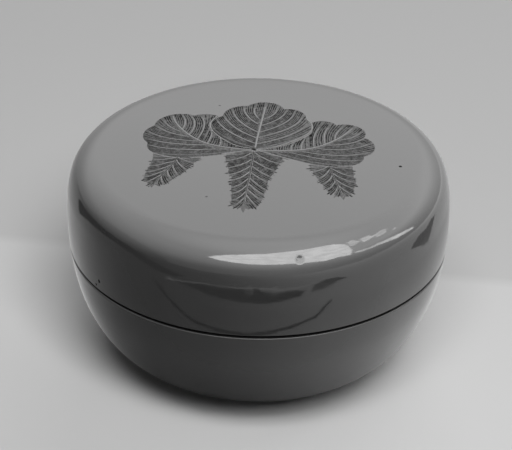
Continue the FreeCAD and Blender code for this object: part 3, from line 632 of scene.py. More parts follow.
def turned_piece(name, points, first_dark_row, outside, inside, segments):
    """A turned shell as a plain mesh, from its section's points.

    A section that starts low down on the axis runs the other way round, so its faces are flipped.
    """
    mesh = bpy.data.meshes.new(name + "_section")
    edges = [(i, i + 1) for i in range(len(points) - 1)]
    mesh.from_pydata([(radius, 0, height) for radius, height in points], edges, [])
    tree = bpy.data.node_groups.get("Turned Shell") or turning_tree()
    return grown(add_object(name + "_section", mesh), tree, {
        "Segments": segments, "First Dark Row": first_dark_row,
        "From Below": points[0][1] < points[-1][1],
        "Outside Finish": outside, "Inside Finish": inside}, name)


def new_material(name):
    """A material and its tree, which is empty as yet."""
    material = bpy.data.materials.get(name) or bpy.data.materials.new(name)
    material.use_nodes = True
    material.node_tree.nodes.clear()
    return material, material.node_tree


def coat(tree, inputs):
    """End a material's tree in a shader with the given inputs."""
    surface = add_node(tree, "ShaderNodeBsdfPrincipled", inputs)
    add_node(tree, "ShaderNodeOutputMaterial", {"Surface": surface})


def shades(colour, darkest, palest):
    """Two shades of a colour for a mix, as shares of its linear light."""
    return {end: [part * share for part in linear(colour)[:3]] + [1]
            for end, share in (("A", darkest), ("B", palest))}


# Knocks in the polish: place, radius and depth in millimetres, and the share of gloss left there.
KNOCKS = [((7.7, -35.3, 44.0), 1.1, 0.2, 0.75), ((-30.3, -22.8, 30.7), 0.5, 0.2, 0.0),
          ((-30.9, -21.7, 29.3), 0.4, 0.2, 0.0), ((27.5, -4.7, 46.7), 0.4, 0.1, 0.0),
          ((-9.9, -18.1, 47.1), 0.3, 0.05, 0.3), ((-8.2, 19.0, 47.0), 0.3, 0.05, 0.3)]
FULL_GLOSS = 0.5
CLOUD_SIZE = 14 * MM
RIPPLE_SIZE = 1.8 * MM
# As a share of the distance that the bump stands for, which is a millimetre.
RIPPLE_HEIGHT = 0.01


def polished_lacquer(colour):
    """Layers of lacquer on turned wood, rubbed to a full polish.

    The eye sees a deep, slightly uneven body colour under a clear gloss that mirrors windows
    sharply, with a faint haze where it was handled.
    """
    material, tree = new_material("polished_lacquer")
    coords = add_node(tree, "ShaderNodeTexCoord").outputs["Object"]
    clouds = add_node(tree, "ShaderNodeTexNoise", {
        "Vector": coords, "Scale": 1 / CLOUD_SIZE, "Detail": 3.0})
    tint = add_node(tree, "ShaderNodeMix", {"Factor": clouds, **shades(colour, 0.92, 1.08)},
                    data_type="RGBA")
    haze = add_node(tree, "ShaderNodeMapRange", {
        "Value": clouds, "To Min": 0.05, "To Max": 0.09})
    ripple = add_node(tree, "ShaderNodeTexNoise", {
        "Vector": coords, "Scale": 1 / RIPPLE_SIZE, "Detail": 1.0})
    height = add_node(tree, "ShaderNodeMath", {0: ripple, 1: RIPPLE_HEIGHT},
                      operation="MULTIPLY")
    gloss = FULL_GLOSS
    for place, radius, depth, left in KNOCKS:
        away = add_node(tree, "ShaderNodeVectorMath", {
            0: coords, 1: [part * MM for part in place]}, operation="DISTANCE")
        dent = add_node(tree, "ShaderNodeMapRange", {
            "Value": away, "From Max": radius * MM, "To Min": -depth, "To Max": 0.0},
            interpolation_type="SMOOTHSTEP")
        height = add_node(tree, "ShaderNodeMath", {0: dent, 1: height})
        worn = add_node(tree, "ShaderNodeMapRange", {
            "Value": away, "From Min": radius * 0.7 * MM, "From Max": radius * MM,
            "To Min": left * FULL_GLOSS, "To Max": FULL_GLOSS})
        gloss = add_node(tree, "ShaderNodeMath", {0: worn, 1: gloss}, operation="MINIMUM")
    knocks = add_node(tree, "ShaderNodeBump", {"Strength": 1.0, "Distance": MM, "Height": height})
    coat(tree, {"Base Color": tint, "Roughness": haze, "IOR": 1.5, "Specular IOR Level": gloss,
                "Normal": knocks})
    return material


def brushed_lacquer(name, colour, roughness, gloss):
    """Lacquer brushed on in one tone and left as it dried.

    In the hollows and on the collar the eye sees a darker tone than outside, with broad soft glints
    instead of a mirror, and in the seam's groove the same tone is painted shade. In the crest it
    sees light veins with a little gloss, and dull dark hairlines that shade the leaves.
    """
    material, tree = new_material(name)
    coat(tree, {"Base Color": linear(colour), "Roughness": roughness, "Specular IOR Level": gloss})
    return material


SHAKE_SIZE = 0.5 * MM
PRESSURE_SIZE = 0.8 * MM
LIGHTEST_PRESSURE = 0.04
STROKE_THICKNESS = 0.02 * MM
STROKE_POINT_SPACING = 0.35 * MM


def stroke_tree():
    """Lay flat strokes on the dome along curves, as wide as each curve's radius says."""
    tree, given = new_tree("Laid Strokes", [
        ("Width", "NodeSocketFloat"), ("Thickness", "NodeSocketFloat"),
        ("Proud", "NodeSocketFloat"), ("Dome", "NodeSocketFloat"), ("Top", "NodeSocketFloat"),
        ("Point Spacing", "NodeSocketFloat"), ("Raggedness", "NodeSocketFloat"),
        ("Breaks", "NodeSocketFloat"), ("Seed", "NodeSocketFloat"),
        ("Finish", "NodeSocketMaterial")])
    even = add_node(tree, "GeometryNodeResampleCurve", {
        "Curve": given["Geometry"], "Length": given["Point Spacing"]}, mode="LENGTH")
    place = add_node(tree, "GeometryNodeInputPosition")
    shake = add_node(tree, "ShaderNodeTexNoise", {
        "Vector": place, "W": given["Seed"], "Scale": 1 / SHAKE_SIZE, "Detail": 1.0},
        noise_dimensions="4D")
    centred = add_node(tree, "ShaderNodeVectorMath", {
        0: shake.outputs["Color"], 1: (0.5, 0.5, 0.5)}, operation="SUBTRACT")
    moved = add_node(tree, "ShaderNodeVectorMath", {
        0: centred, "Scale": given["Raggedness"]}, operation="SCALE")
    ragged = add_node(tree, "ShaderNodeVectorMath", {0: place, 1: moved})
    flat = add_node(tree, "ShaderNodeVectorMath", {0: ragged, 1: (1, 1, 0)},
                    operation="MULTIPLY")
    reach = add_node(tree, "ShaderNodeVectorMath", {0: flat}, operation="LENGTH")
    reach_square = add_node(tree, "ShaderNodeMath", {0: reach, 1: 2.0}, operation="POWER")
    dome_square = add_node(tree, "ShaderNodeMath", {0: given["Dome"], 1: 2.0},
                           operation="POWER")
    left = add_node(tree, "ShaderNodeMath", {0: dome_square, 1: reach_square},
                    operation="SUBTRACT")
    rise = add_node(tree, "ShaderNodeMath", {0: left}, operation="SQRT")
    centre = add_node(tree, "ShaderNodeMath", {0: given["Top"], 1: given["Dome"]},
                      operation="SUBTRACT")
    height = add_node(tree, "ShaderNodeMath", {0: rise, 1: centre})
    lifted = add_node(tree, "ShaderNodeMath", {0: height, 1: given["Proud"]})
    parts = add_node(tree, "ShaderNodeSeparateXYZ", {0: flat}).outputs
    spot = add_node(tree, "ShaderNodeCombineXYZ", {
        "X": parts["X"], "Y": parts["Y"], "Z": lifted})
    laid = add_node(tree, "GeometryNodeSetPosition", {"Geometry": even, "Position": spot})
    upright = add_node(tree, "GeometryNodeSetCurveNormal", {"Curve": laid}, mode="Z_UP")
    pressure = add_node(tree, "ShaderNodeTexNoise", {
        "Vector": place, "W": given["Seed"], "Scale": 1 / PRESSURE_SIZE, "Detail": 0.0},
        noise_dimensions="4D")
    pressed = add_node(tree, "ShaderNodeMapRange", {
        "Value": pressure, "From Min": given["Breaks"], "From Max": 0.6,
        "To Min": LIGHTEST_PRESSURE, "To Max": 1.0})
    radius = add_node(tree, "GeometryNodeInputRadius")
    weight = add_node(tree, "ShaderNodeMath", {0: pressed, 1: radius}, operation="MULTIPLY")
    brush = add_node(tree, "GeometryNodeCurvePrimitiveQuadrilateral", {
        "Width": given["Width"], "Height": given["Thickness"]})
    strokes = add_node(tree, "GeometryNodeCurveToMesh", {
        "Curve": upright, "Profile Curve": brush, "Scale": weight, "Fill Caps": True})
    real = add_node(tree, "GeometryNodeRealizeInstances", {"Geometry": strokes})
    finish_tree(tree, add_node(tree, "GeometryNodeSetMaterial", {
        "Geometry": real, "Material": given["Finish"]}))
    return tree


def laid_strokes(name, lines, finish, width, proud, sizes, raggedness=0.0, breaks=-1.0,
                 smooth=True):
    """Strokes on the lid's dome as one mesh piece. Each line is its points and their weights."""
    curve = bpy.data.curves.new(name + "_lines", "CURVE")
    curve.dimensions = "3D"
    curve.resolution_u = 6
    for points, weights in lines:
        spline = curve.splines.new("NURBS" if smooth else "POLY")
        spline.points.add(len(points) - 1)
        for point, (across, away), weight in zip(spline.points, points, weights):
            point.co = (across * MM, away * MM, 0, 1)
            point.radius = weight
        if smooth:
            spline.order_u = min(4, len(points))
            spline.use_endpoint_u = True
    tree = bpy.data.node_groups.get("Laid Strokes") or stroke_tree()
    return grown(add_object(name + "_lines", curve), tree, {
        "Width": width, "Thickness": STROKE_THICKNESS, "Proud": proud,
        "Dome": sizes.dome_radius, "Top": LID_HIGH.z, "Point Spacing": STROKE_POINT_SPACING,
        "Raggedness": raggedness, "Breaks": breaks, "Seed": 3.0, "Finish": finish}, name)


def bend(points, count=16):
    """Even places along the smooth line that three or four points steer."""
    line = []
    for i in range(count + 1):
        t, left = i / count, list(points)
        while len(left) > 1:
            left = between(left[:-1], left[1:], t)
        line.append(left[0])
    return line


def between(first, second, share):
    """A line that runs between two lines of equally many points, or past them."""
    return [tuple(a[k] + (b[k] - a[k]) * share for k in (0, 1)) for a, b in zip(first, second)]


def drawn_out(line, reach, step=0.3):
    """A line with its first end drawn straight out."""
    length = math.dist(line[0], line[2])
    way = [(line[0][k] - line[2][k]) / length for k in (0, 1)]
    count = round(reach / step)
    ahead = [tuple(line[0][k] + way[k] * step * i for k in (0, 1)) for i in range(count, 0, -1)]
    return ahead + line


def kept_on(ground, line):
    """The stretches of a line that lie over a ground."""
    stretches, last = [], []
    for place in line + [None]:
        over = place and ground.ray_cast(
            Vector((place[0] * MM, place[1] * MM, 1)), Vector((0, 0, -1)))[0]
        if over:
            last.append(place)
        elif last:
            stretches.append(last)
            last = []
    return [stretch for stretch in stretches if len(stretch) > 2]


def gaps_across(first, second):
    """How far apart two lines of equally many points run, square to the first."""
    gaps = []
    for i, (place, other) in enumerate(zip(first, second)):
        before, after = first[max(i - 1, 0)], first[min(i + 1, len(first) - 1)]
        along = [after[k] - before[k] for k in (0, 1)]
        apart = [other[k] - place[k] for k in (0, 1)]
        gaps.append(abs(along[0] * apart[1] - along[1] * apart[0]) / math.hypot(*along))
    return gaps


# In millimetres: how far fine lines are drawn past the ground before they are cut to it, how far
# they fill a leaf past its last curve, and a spike before its first.
LINE_OVERRUN = 6.0
LEAF_FILL = 2.5
SPIKE_FILL = 0.5
# The weight that a fine line starts with, and in the first gap of a leaf, where it is dark. Its
# first point is lighter, by a share for spikes and one for leaves.
START_WEIGHT = 1.2
DARK_START_WEIGHT = 1.5
SPIKE_TIP_WEIGHT = 0.5
LEAF_TIP_WEIGHT = 0.9
# How far whiskers run, as shares of their usual length.
WHISKER_RANGE = (0.2, 1.5)
WHISKER_STEP = 0.15


def fine_lines(sides, ground, spacing, whiskers, chance):
    """Fine lines that fill a leaf between its veins. Whiskers run on past the leaf's edge.

    Lines grow lighter as their gap narrows, so that they don't run together in a dark blot.
    """
    lines = []
    for curves in sides:
        curves = [bend(points) for _, points in curves]
        for number, (first, second) in enumerate(zip(curves, curves[1:])):
            gaps = gaps_across(first, second)
            outer_gaps = gaps[:len(gaps) // 2 + 1]
            wide = sum(outer_gaps) / len(outer_gaps)
            count = max(1, round(wide / spacing))
            start = -math.ceil(SPIKE_FILL / spacing) if number == 0 and whiskers else 1
            stop = count
            if number == len(curves) - 2 and not whiskers:
                stop += math.ceil(LEAF_FILL / spacing)
            heavy = START_WEIGHT if number or whiskers else DARK_START_WEIGHT
            light = min(1.0, gaps[-1] / wide + 0.05)
            for i in range(start, stop):
                if i in (0, count):
                    continue
                line = drawn_out(between(first, second, i / count), LINE_OVERRUN)
                for stretch in kept_on(ground, line):
                    if whiskers:
                        stretch = drawn_out(
                            stretch, whiskers * chance.uniform(*WHISKER_RANGE), WHISKER_STEP)
                    weights = [heavy + (light - heavy) * k / len(stretch)
                               for k in range(len(stretch))]
                    weights[0] *= SPIKE_TIP_WEIGHT if whiskers else LEAF_TIP_WEIGHT
                    lines.append((stretch, weights))
    return lines


def crest_ground(name, finish, layer):
    """An inlay of the crest, from its solid's merged copy, a layer proud of the lid."""
    work = bmesh.new()
    work.from_mesh(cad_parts[name].data)
    bmesh.ops.remove_doubles(work, verts=work.verts, dist=0.001 * MM)
    for vertex in work.verts:
        vertex.co.z += layer
    mesh = bpy.data.meshes.new("crest_" + name)
    work.to_mesh(mesh)
    work.free()
    mesh.materials.clear()
    mesh.materials.append(finish)
    return add_object("crest_" + name, mesh)


GRAIN_SIZE = 0.35 * MM
NICK_DEPTH = 0.03 * MM


def crest_lacquer(colour):
    """Lacquer cut with a fine tool and left dull, so that its ground is full of small nicks.

    The eye sees a dull, speckled grey that sets the leaves off from the mirror round them. The real
    nicks are finer than the photo shows, so that the grain is drawn coarser.
    """
    material, tree = new_material("crest_lacquer")
    coords = add_node(tree, "ShaderNodeTexCoord").outputs["Object"]
    grain = add_node(tree, "ShaderNodeTexNoise", {
        "Vector": coords, "Scale": 1 / GRAIN_SIZE, "Detail": 3.0, "Roughness": 0.7})
    shade = add_node(tree, "ShaderNodeMapRange", {
        "Value": grain, "From Min": 0.35, "From Max": 0.65})
    tint = add_node(tree, "ShaderNodeMix", {"Factor": shade, **shades(colour, 0.5, 1.6)},
                    data_type="RGBA")
    nicks = add_node(tree, "ShaderNodeBump", {
        "Strength": 0.3, "Distance": NICK_DEPTH, "Height": grain})
    coat(tree, {"Base Color": tint, "Roughness": 0.6, "Specular IOR Level": 0.1,
                "Normal": nicks})
    return material


def veins_of(motifs, weights):
    """The veins of some motifs with their weights, finer on the side of a leaf that is fainter."""
    return [(points, [weight * strength for weight in weights])
            for motif in motifs.values()
            for curves, strength in zip(motif["sides"], motif.get("strengths", (1.0, 1.0)))
            for kind, points in curves if kind == "vein"]


def tapered(points, start, stop):
    """A line and its weights, which are full between those of its two ends."""
    return points, [start] + [1.0] * (len(points) - 2) + [stop]


# How heavy the veins are at their four points, from the edge in to the midrib.
VEIN_WEIGHTS = [0.4, 1.0, 1.1, 0.6]
WISP_WEIGHTS = [0.1, 0.4, 1.4, 1.0]
KNOT_WEIGHTS = [2.0, 4.0, 2.0]
# The fine lines of flower spikes, as shares of the leaves' width and spacing.
SPIKE_LINE_WIDTH = 1.25
SPIKE_LINE_SPACING = 1.2


class INCENSE_OT_crest(bpy.types.Operator):
    """Lay the crest's six grounds, their fine lines and their veins on the lid"""
    bl_idname = "incense.crest"
    bl_label = "Crest"

    def execute(self, context):
        scene = context.scene
        sizes, crest, colours = scene.incense_sizes, scene.incense_crest, scene.incense_finishes
        ground = crest_lacquer(colours.crest)
        grounds = {}
        for name in LEAVES + RACEMES:
            piece = crest_ground(name, ground, crest.layer)
            grounds[name] = BVHTree.FromPolygons(
                [vertex.co for vertex in piece.data.vertices],
                [polygon.vertices for polygon in piece.data.polygons])
            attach(piece, "lid")
            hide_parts(name)
        motifs = list(LEAF_VEINS.values()) + list(RACEME_VEINS.values())
        spacing = crest.hairline_spacing / MM
        chance = random.Random(11)
        fine = [line for name, motif in LEAF_VEINS.items()
                for line in fine_lines(motif["sides"], grounds[name], spacing, 0, chance)]
        hairs = [line for name, motif in RACEME_VEINS.items()
                 for line in fine_lines(motif["sides"], grounds[name],
                                        spacing * SPIKE_LINE_SPACING,
                                        crest.whiskers / MM, chance)]
        veins = veins_of(LEAF_VEINS, VEIN_WEIGHTS)
        wisps = veins_of(RACEME_VEINS, WISP_WEIGHTS)
        veins += [tapered(points, 0.6, 0.7) for points in LEAF_RIMS]
        midribs = [tapered(motif["midrib"], 0.6, 1.0) for motif in motifs]
        stems = [tapered(motif["midrib"], 1.0, 0.6) for motif in RACEME_VEINS.values()]
        stems.append((STEM_KNOT, KNOT_WEIGHTS))
        light = brushed_lacquer("vein_lacquer", colours.vein, 0.3, 0.3)
        dark = brushed_lacquer("hairline_lacquer", colours.hairline, 0.6, 0.0)
        # Name, lines, finish, width, layers up, raggedness, breaks, and whether it is smooth.
        layers = [
            ("crest_hairlines", fine, dark, crest.hairline_width, 1.2, 0.12 * MM, 0.25, False),
            ("crest_hairs", hairs, dark, crest.hairline_width * SPIKE_LINE_WIDTH, 1.2, 0.2 * MM,
             0.25, False),
            ("crest_veins", veins, light, crest.vein_width, 2.0, 0.08 * MM, -1.0, True),
            ("crest_wisps", wisps, light, crest.vein_width, 2.0, 0.45 * MM, 0.15, True),
            ("crest_midribs", midribs, light, crest.midrib_width, 2.6, 0.0, -1.0, True),
            ("crest_stems", stems, dark, crest.stem_width, 3.2, 0.1 * MM, -1.0, True),
        ]
        for name, lines, finish, width, layers_up, raggedness, breaks, smooth in layers:
            piece = laid_strokes(name, lines, finish, width, crest.layer * layers_up, sizes,
                                 raggedness, breaks, smooth)
            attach(piece, "lid")
        return {"FINISHED"}


class INCENSE_OT_base(bpy.types.Operator):
    """Turn the bowl-shaped base with its foot ring and the mouth's rebate"""
    bl_idname = "incense.base"
    bl_label = "Base"

    def execute(self, context):
        scene = context.scene
        profile = Profile(scene.incense_sizes)
        points, first_dark_row = base_profile(profile)
        piece = turned_piece(
            "turned_base", points, first_dark_row, polished_lacquer(scene.incense_finishes.lacquer),
            brushed_lacquer("hollow_and_seam_shade_lacquer", scene.incense_finishes.inside, 0.3, 0.2),
            scene.incense_sizes.segments)
        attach(piece, "base")
        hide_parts("base_shell")
        return {"FINISHED"}


class INCENSE_OT_collar(bpy.types.Operator):
    """Turn the standing collar that the lid fits over"""
    bl_idname = "incense.collar"
    bl_label = "Collar"

    def execute(self, context):
        scene = context.scene
        points, first_dark_row = collar_profile(Profile(scene.incense_sizes))
        finish = brushed_lacquer("collar_lacquer", scene.incense_finishes.inside, 0.2, 0.2)
        piece = turned_piece(
            "standing_collar", points, first_dark_row, finish, finish, scene.incense_sizes.segments)
        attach(piece, "base")
        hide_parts("mouth_collar")
        return {"FINISHED"}


class INCENSE_OT_lid(bpy.types.Operator):
    """Turn the domed lid with its hollow and the rebate over the collar"""
    bl_idname = "incense.lid"
    bl_label = "Lid"

    def execute(self, context):
        scene = context.scene
        points, first_dark_row = lid_profile(Profile(scene.incense_sizes))
        piece = turned_piece(
            "turned_lid", points, first_dark_row, polished_lacquer(scene.incense_finishes.lacquer),
            brushed_lacquer("hollow_and_seam_shade_lacquer", scene.incense_finishes.inside, 0.3, 0.2),
            scene.incense_sizes.segments)
        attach(piece, "lid")
        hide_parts("lid_shell")
        return {"FINISHED"}


class INCENSE_OT_stage(bpy.types.Operator):
    """Set the pale floor, the soft light and the camera"""
    bl_idname = "incense.stage"
    bl_label = "Stage"

    def execute(self, context):
        make_floor()
        make_lights()
        make_camera()
        context.scene.view_settings.view_transform = "Standard"
        return {"FINISHED"}


CAMERA_ELEVATION = math.radians(31.06)
CAMERA_DISTANCE = 12 * BOX_RADIUS
CAMERA_ROLL = math.radians(0.82)
AIM_BELOW_SEAM = 0.99 * MM
SENSOR_WIDTH = 36.0
FOCAL_LENGTH_PIXELS = 2268.9
PHOTO_WIDTH, PHOTO_HEIGHT = 512, 450
AIM_PIXEL = (258.12, 237.88)
NEAREST, FARTHEST = 0.01, 20


def make_camera():
    """The photographed view: from in front and above, nearly level with the box's axis upright."""
    data = bpy.data.cameras.new("view_camera")
    camera = add_object("view_camera", data)
    data.sensor_width = SENSOR_WIDTH
    data.lens = FOCAL_LENGTH_PIXELS / PHOTO_WIDTH * SENSOR_WIDTH
    data.shift_x = (PHOTO_WIDTH / 2 - AIM_PIXEL[0]) / PHOTO_WIDTH
    data.shift_y = (AIM_PIXEL[1] - PHOTO_HEIGHT / 2) / PHOTO_WIDTH
    aim = SEAM_HEIGHT - AIM_BELOW_SEAM
    camera.location = (0, -CAMERA_DISTANCE * math.cos(CAMERA_ELEVATION),
                       aim + CAMERA_DISTANCE * math.sin(CAMERA_ELEVATION))
    camera.rotation_euler = (math.pi / 2 - CAMERA_ELEVATION, 0, 0)
    camera.rotation_euler.rotate_axis("Z", CAMERA_ROLL)
    data.clip_start, data.clip_end = NEAREST, FARTHEST
    bpy.context.scene.camera = camera


PAPER = "#c8c8c8"
TABLE = "#bcbcbc"
# Where the paper gives way to the table: the way it faces in degrees, and from and to how far off.
SHEET_WAY = 8
SHEET_FADE = (33 * MM, 37 * MM)
FLOOR_REACH = 3.0
# In the paper's painted reflection: from and to how far off it grows lighter out of a painted
# shadow under the box, and then passes from its near tone to its far tone. The share is what is
# left of its tone in that painted shadow.
PAINTED_SHADOW_FADE = (20 * MM, 50 * MM)
FAR_FADE = (90 * MM, 900 * MM)
PAINTED_SHADOW_SHARE = 0.05
ROOM_PLAIN = 0.06
# The azimuth of the pale side in the room's painted reflection, and from and to how far a
# direction lies towards it.
PALE_SIDE = 112
PALE_SIDE_FADE = (-0.45, 1.05)
CARD_DISTANCE = 1.5
CARD_LIFT = 0.2 * MM
PATCH_SIZE = 0.12
LAMP_DISTANCE = 1.1
# Painted reflection of the room, from elevations in degrees: the dim side, then the paler side.
ROOM_REFLECTION_TONES = [
    (0, 0.85, 1.7), (5, 1.0, 2.0), (10, 1.25, 2.4), (15, 1.6, 2.85), (20, 2.05, 3.5),
    (24, 2.4, 4.15), (30, 2.75, 5.0), (37, 3.12, 5.0), (45, 3.55, 5.1), (55, 3.8, 5.4),
    (65, 4.4, 6.2), (75, 4.9, 6.9), (90, 5.2, 6.0)]
# Painted reflection of the paper, from azimuths in degrees: within a hand's breadth, then far off.
PAPER_REFLECTION_TONES = [
    (-180, 0.57, 1.1), (-160, 0.36, 0.6), (-130, 0.25, 0.38), (-110, 0.32, 0.27),
    (-90, 0.5, 0.29), (-70, 0.7, 0.46), (-50, 0.6, 0.7), (-30, 0.36, 0.8), (0, 0.38, 0.88),
    (30, 0.5, 1.38), (50, 0.6, 2.17), (70, 0.9, 2.76), (90, 1.1, 2.7), (110, 1.35, 2.42),
    (130, 1.25, 2.4), (150, 1.05, 2.0), (180, 0.57, 1.1)]
# Outlines of painted reflections that only the gloss shows, as azimuth and elevation in degrees.
WINDOW = [
    (212, 41), (204, 36.5), (195, 34.5), (185, 32), (172, 31), (160, 30.5), (150, 28), (140, 24),
    (131, 26), (125, 22), (119, 36), (113.5, 47), (107.5, 56), (105, 63), (110, 66.5),
    (125, 68), (145, 67.5), (165, 67), (180, 66), (192, 63), (202, 57), (210, 49)]
BLINDS = [
    [(102.7, 56.7), (96, 57), (98.8, 52.7), (103.3, 47.2), (110.8, 44), (113, 45.6)],
    [(96.3, 52.2), (91, 52.3), (87.7, 50.8), (92.5, 47), (89.4, 45.9), (94.6, 43.3), (101, 42.6),
     (105.4, 42.5), (102.6, 46.6)],
    [(91, 45.3), (83.6, 47), (80.2, 46), (80, 43), (87.9, 38.3), (91.5, 38), (96.3, 38.8)],
    [(84.9, 35), (82, 35.5), (82.8, 33.2), (86, 32.2)],
    [(121.4, 27.4), (116.5, 25.7), (111, 24.2), (105, 25), (97.5, 22), (92.8, 20.4),
     (88.6, 17.3), (81, 11.3), (81.2, 7), (89.8, 10.7), (95.2, 12.3), (99.7, 16), (107.2, 19.8),
     (112.2, 20.5), (118, 20.8), (121.5, 24)]]
LEFT_WALL = [
    (-44, 0), (-47, 1.5), (-53, 2.4), (-59, 4), (-65, 5), (-75, 13.6), (-87, 20.5), (-102, 21),
    (-116, 17), (-127, 5), (-131, 0)]
# Outlines of painted reflections of dark things in front of the box, in millimetres right of and
# away from its axis.
SHEET_EDGE = [
    (-84, -90), (-60, -99), (-20, -102), (10, -102), (40, -104), (48, -111), (35, -118),
    (12, -121), (0, -131), (-20, -129), (-45, -123), (-78, -106)]
SHEET_RIM = [
    (-86, -86), (-62, -117), (-30, -127), (0, -134), (28, -124), (52, -120), (75, -138),
    (110, -164), (124, -150), (108, -108)]
LEFT_DARK = [
    (-130, 57), (-189, 52), (-245, 16), (-300, -40), (-220, -89), (-121, -87), (-90, -100),
    (-100, -135), (-170, -160), (-400, -200), (-900, -300), (-900, 200), (-420, 262),
    (-260, 165), (-165, 90)]
RIGHT_DARK = [
    (193, 85), (137, 41), (105, 23), (98, 18), (106, 6), (127, -9), (158, -2), (201, 19),
    (194, 42), (221, 80)]
SIDE_EDGE = [(50, -104), (75, -97), (97, -96), (102, -112), (112, -132), (95, -140), (60, -114)]
FOLD = [(-84, -69), (-60, -66.5), (-36, -64.5), (-17, -67), (17, -71), (36, -71.5), (56, -79)]
# Name, azimuth, elevation, width and height in metres, watts.
LAMPS = [("front", 177, 57, 0.6, 0.3, 6.8), ("low", 164, 45, 0.4, 0.3, 5.4),
         ("behind", 24, 48, 0.9, 0.25, 2.8), ("right", 78, 47, 0.4, 0.25, 0.9)]


def direction(azimuth, elevation):
    """A unit vector. Azimuth 0 is away from the camera and 90 to its right, in degrees."""
    turn, tilt = math.radians(azimuth), math.radians(elevation)
    return Vector((math.sin(turn) * math.cos(tilt), math.cos(turn) * math.cos(tilt),
                   math.sin(tilt)))


def turned_share(tree, way, azimuth, start, stop, **settings):
    """0 to 1 by how far a place or direction lies towards an azimuth, from start to stop."""
    turned = add_node(tree, "ShaderNodeVectorMath", {0: way, 1: tuple(direction(azimuth, 0))},
                      operation="DOT_PRODUCT")
    return add_node(tree, "ShaderNodeMapRange", {
        "Value": turned, "From Min": start, "From Max": stop}, **settings)


def two_tones(tree, factor, tones, place_of, share):
    """Two ramps over a factor through the tones of a table, mixed by a share, and the brightest.

    Each of the table's rows has a place, then a tone for either ramp.
    """
    brightest = max(row[2] for row in tones)
    ramps = []
    for column in (1, 2):
        node = add_node(tree, "ShaderNodeValToRGB", {"Fac": factor})
        ramp = node.color_ramp.elements
        for number, row in enumerate(tones):
            mark = ramp[number] if number < 2 else ramp.new(place_of(row[0]))
            mark.position = place_of(row[0])
            mark.color = (*[row[column] / brightest] * 3, 1)
        ramps.append(node)
    mixed = add_node(tree, "ShaderNodeMix", {
        "Factor": share, "A": ramps[0], "B": ramps[1]}, data_type="RGBA")
    return mixed, brightest


def matte_paper():
    """Uncoated paper, laid flat over a slightly darker table.

    The eye sees a flat pale tone without gloss that keeps the box's shadow. Mirrors see instead a
    glowing painted reflection of it, with a painted shadow close to the box, and paler on the
    right and far off.
    """
    material, tree = new_material("matte_paper")
    place = add_node(tree, "ShaderNodeTexCoord").outputs["Object"]
    beyond = turned_share(tree, place, SHEET_WAY, *SHEET_FADE)
    paper = add_node(tree, "ShaderNodeMix", {
        "Factor": beyond, "A": linear(PAPER), "B": linear(TABLE)}, data_type="RGBA")
    surface = add_node(tree, "ShaderNodeBsdfPrincipled", {
        "Base Color": paper, "Roughness": 0.9, "Specular IOR Level": 0.0})
    parts = add_node(tree, "ShaderNodeSeparateXYZ", {0: place}).outputs
    turned = add_node(tree, "ShaderNodeMath", {0: parts["X"], 1: parts["Y"]},
                      operation="ARCTAN2")
    round_share = add_node(tree, "ShaderNodeMapRange", {
        "Value": turned, "From Min": -math.pi, "From Max": math.pi})
    distance = add_node(tree, "ShaderNodeVectorMath", {0: place}, operation="LENGTH")
    far = add_node(tree, "ShaderNodeMapRange", {
        "Value": distance, "From Min": FAR_FADE[0], "From Max": FAR_FADE[1]})
    far_share = add_node(tree, "ShaderNodeMath", {0: far, 1: 0.5}, operation="POWER")
    tone, brightest = two_tones(tree, round_share, PAPER_REFLECTION_TONES,
                                lambda azimuth: (azimuth + 180) / 360, far_share)
    # Painted shadow in the mirrored glow: it falls to a small share of its tone under the box.
    near = add_node(tree, "ShaderNodeMapRange", {
        "Value": distance, "From Min": PAINTED_SHADOW_FADE[0], "From Max": PAINTED_SHADOW_FADE[1],
        "To Min": PAINTED_SHADOW_SHARE * brightest, "To Max": brightest},
        interpolation_type="SMOOTHSTEP")
    # Mirrors see this glow instead of the lit paper: a painted reflection.
    glow = add_node(tree, "ShaderNodeEmission", {"Color": tone, "Strength": near})
    path = add_node(tree, "ShaderNodeLightPath")
    shown = add_node(tree, "ShaderNodeMixShader", {
        0: path.outputs["Is Glossy Ray"], 1: surface, 2: glow})
    add_node(tree, "ShaderNodeOutputMaterial", {"Surface": shown})
    return material


def make_floor():
    """A plain pale sheet under the box."""
    mesh = bpy.data.meshes.new("floor")
    corners = [(across * FLOOR_REACH, away * FLOOR_REACH, 0)
               for across, away in ((-1, -1), (1, -1), (1, 1), (-1, 1))]
    mesh.from_pydata(corners, [], [range(4)])
    mesh.materials.append(matte_paper())
    floor = add_object("floor", mesh)


def add_lamp(name, azimuth, elevation, width, height, power):
    """A soft oblong lamp that faces the box and isn't mirrored in it."""
    data = bpy.data.lights.new(name, "AREA")
    data.shape = "RECTANGLE"
    data.size, data.size_y = width, height
    data.energy = power
    lamp = add_object(name, data)
    towards = direction(azimuth, elevation)
    lamp.location = towards * LAMP_DISTANCE
    lamp.rotation_euler = towards.to_track_quat("Z", "Y").to_euler()
    lamp.visible_glossy = False


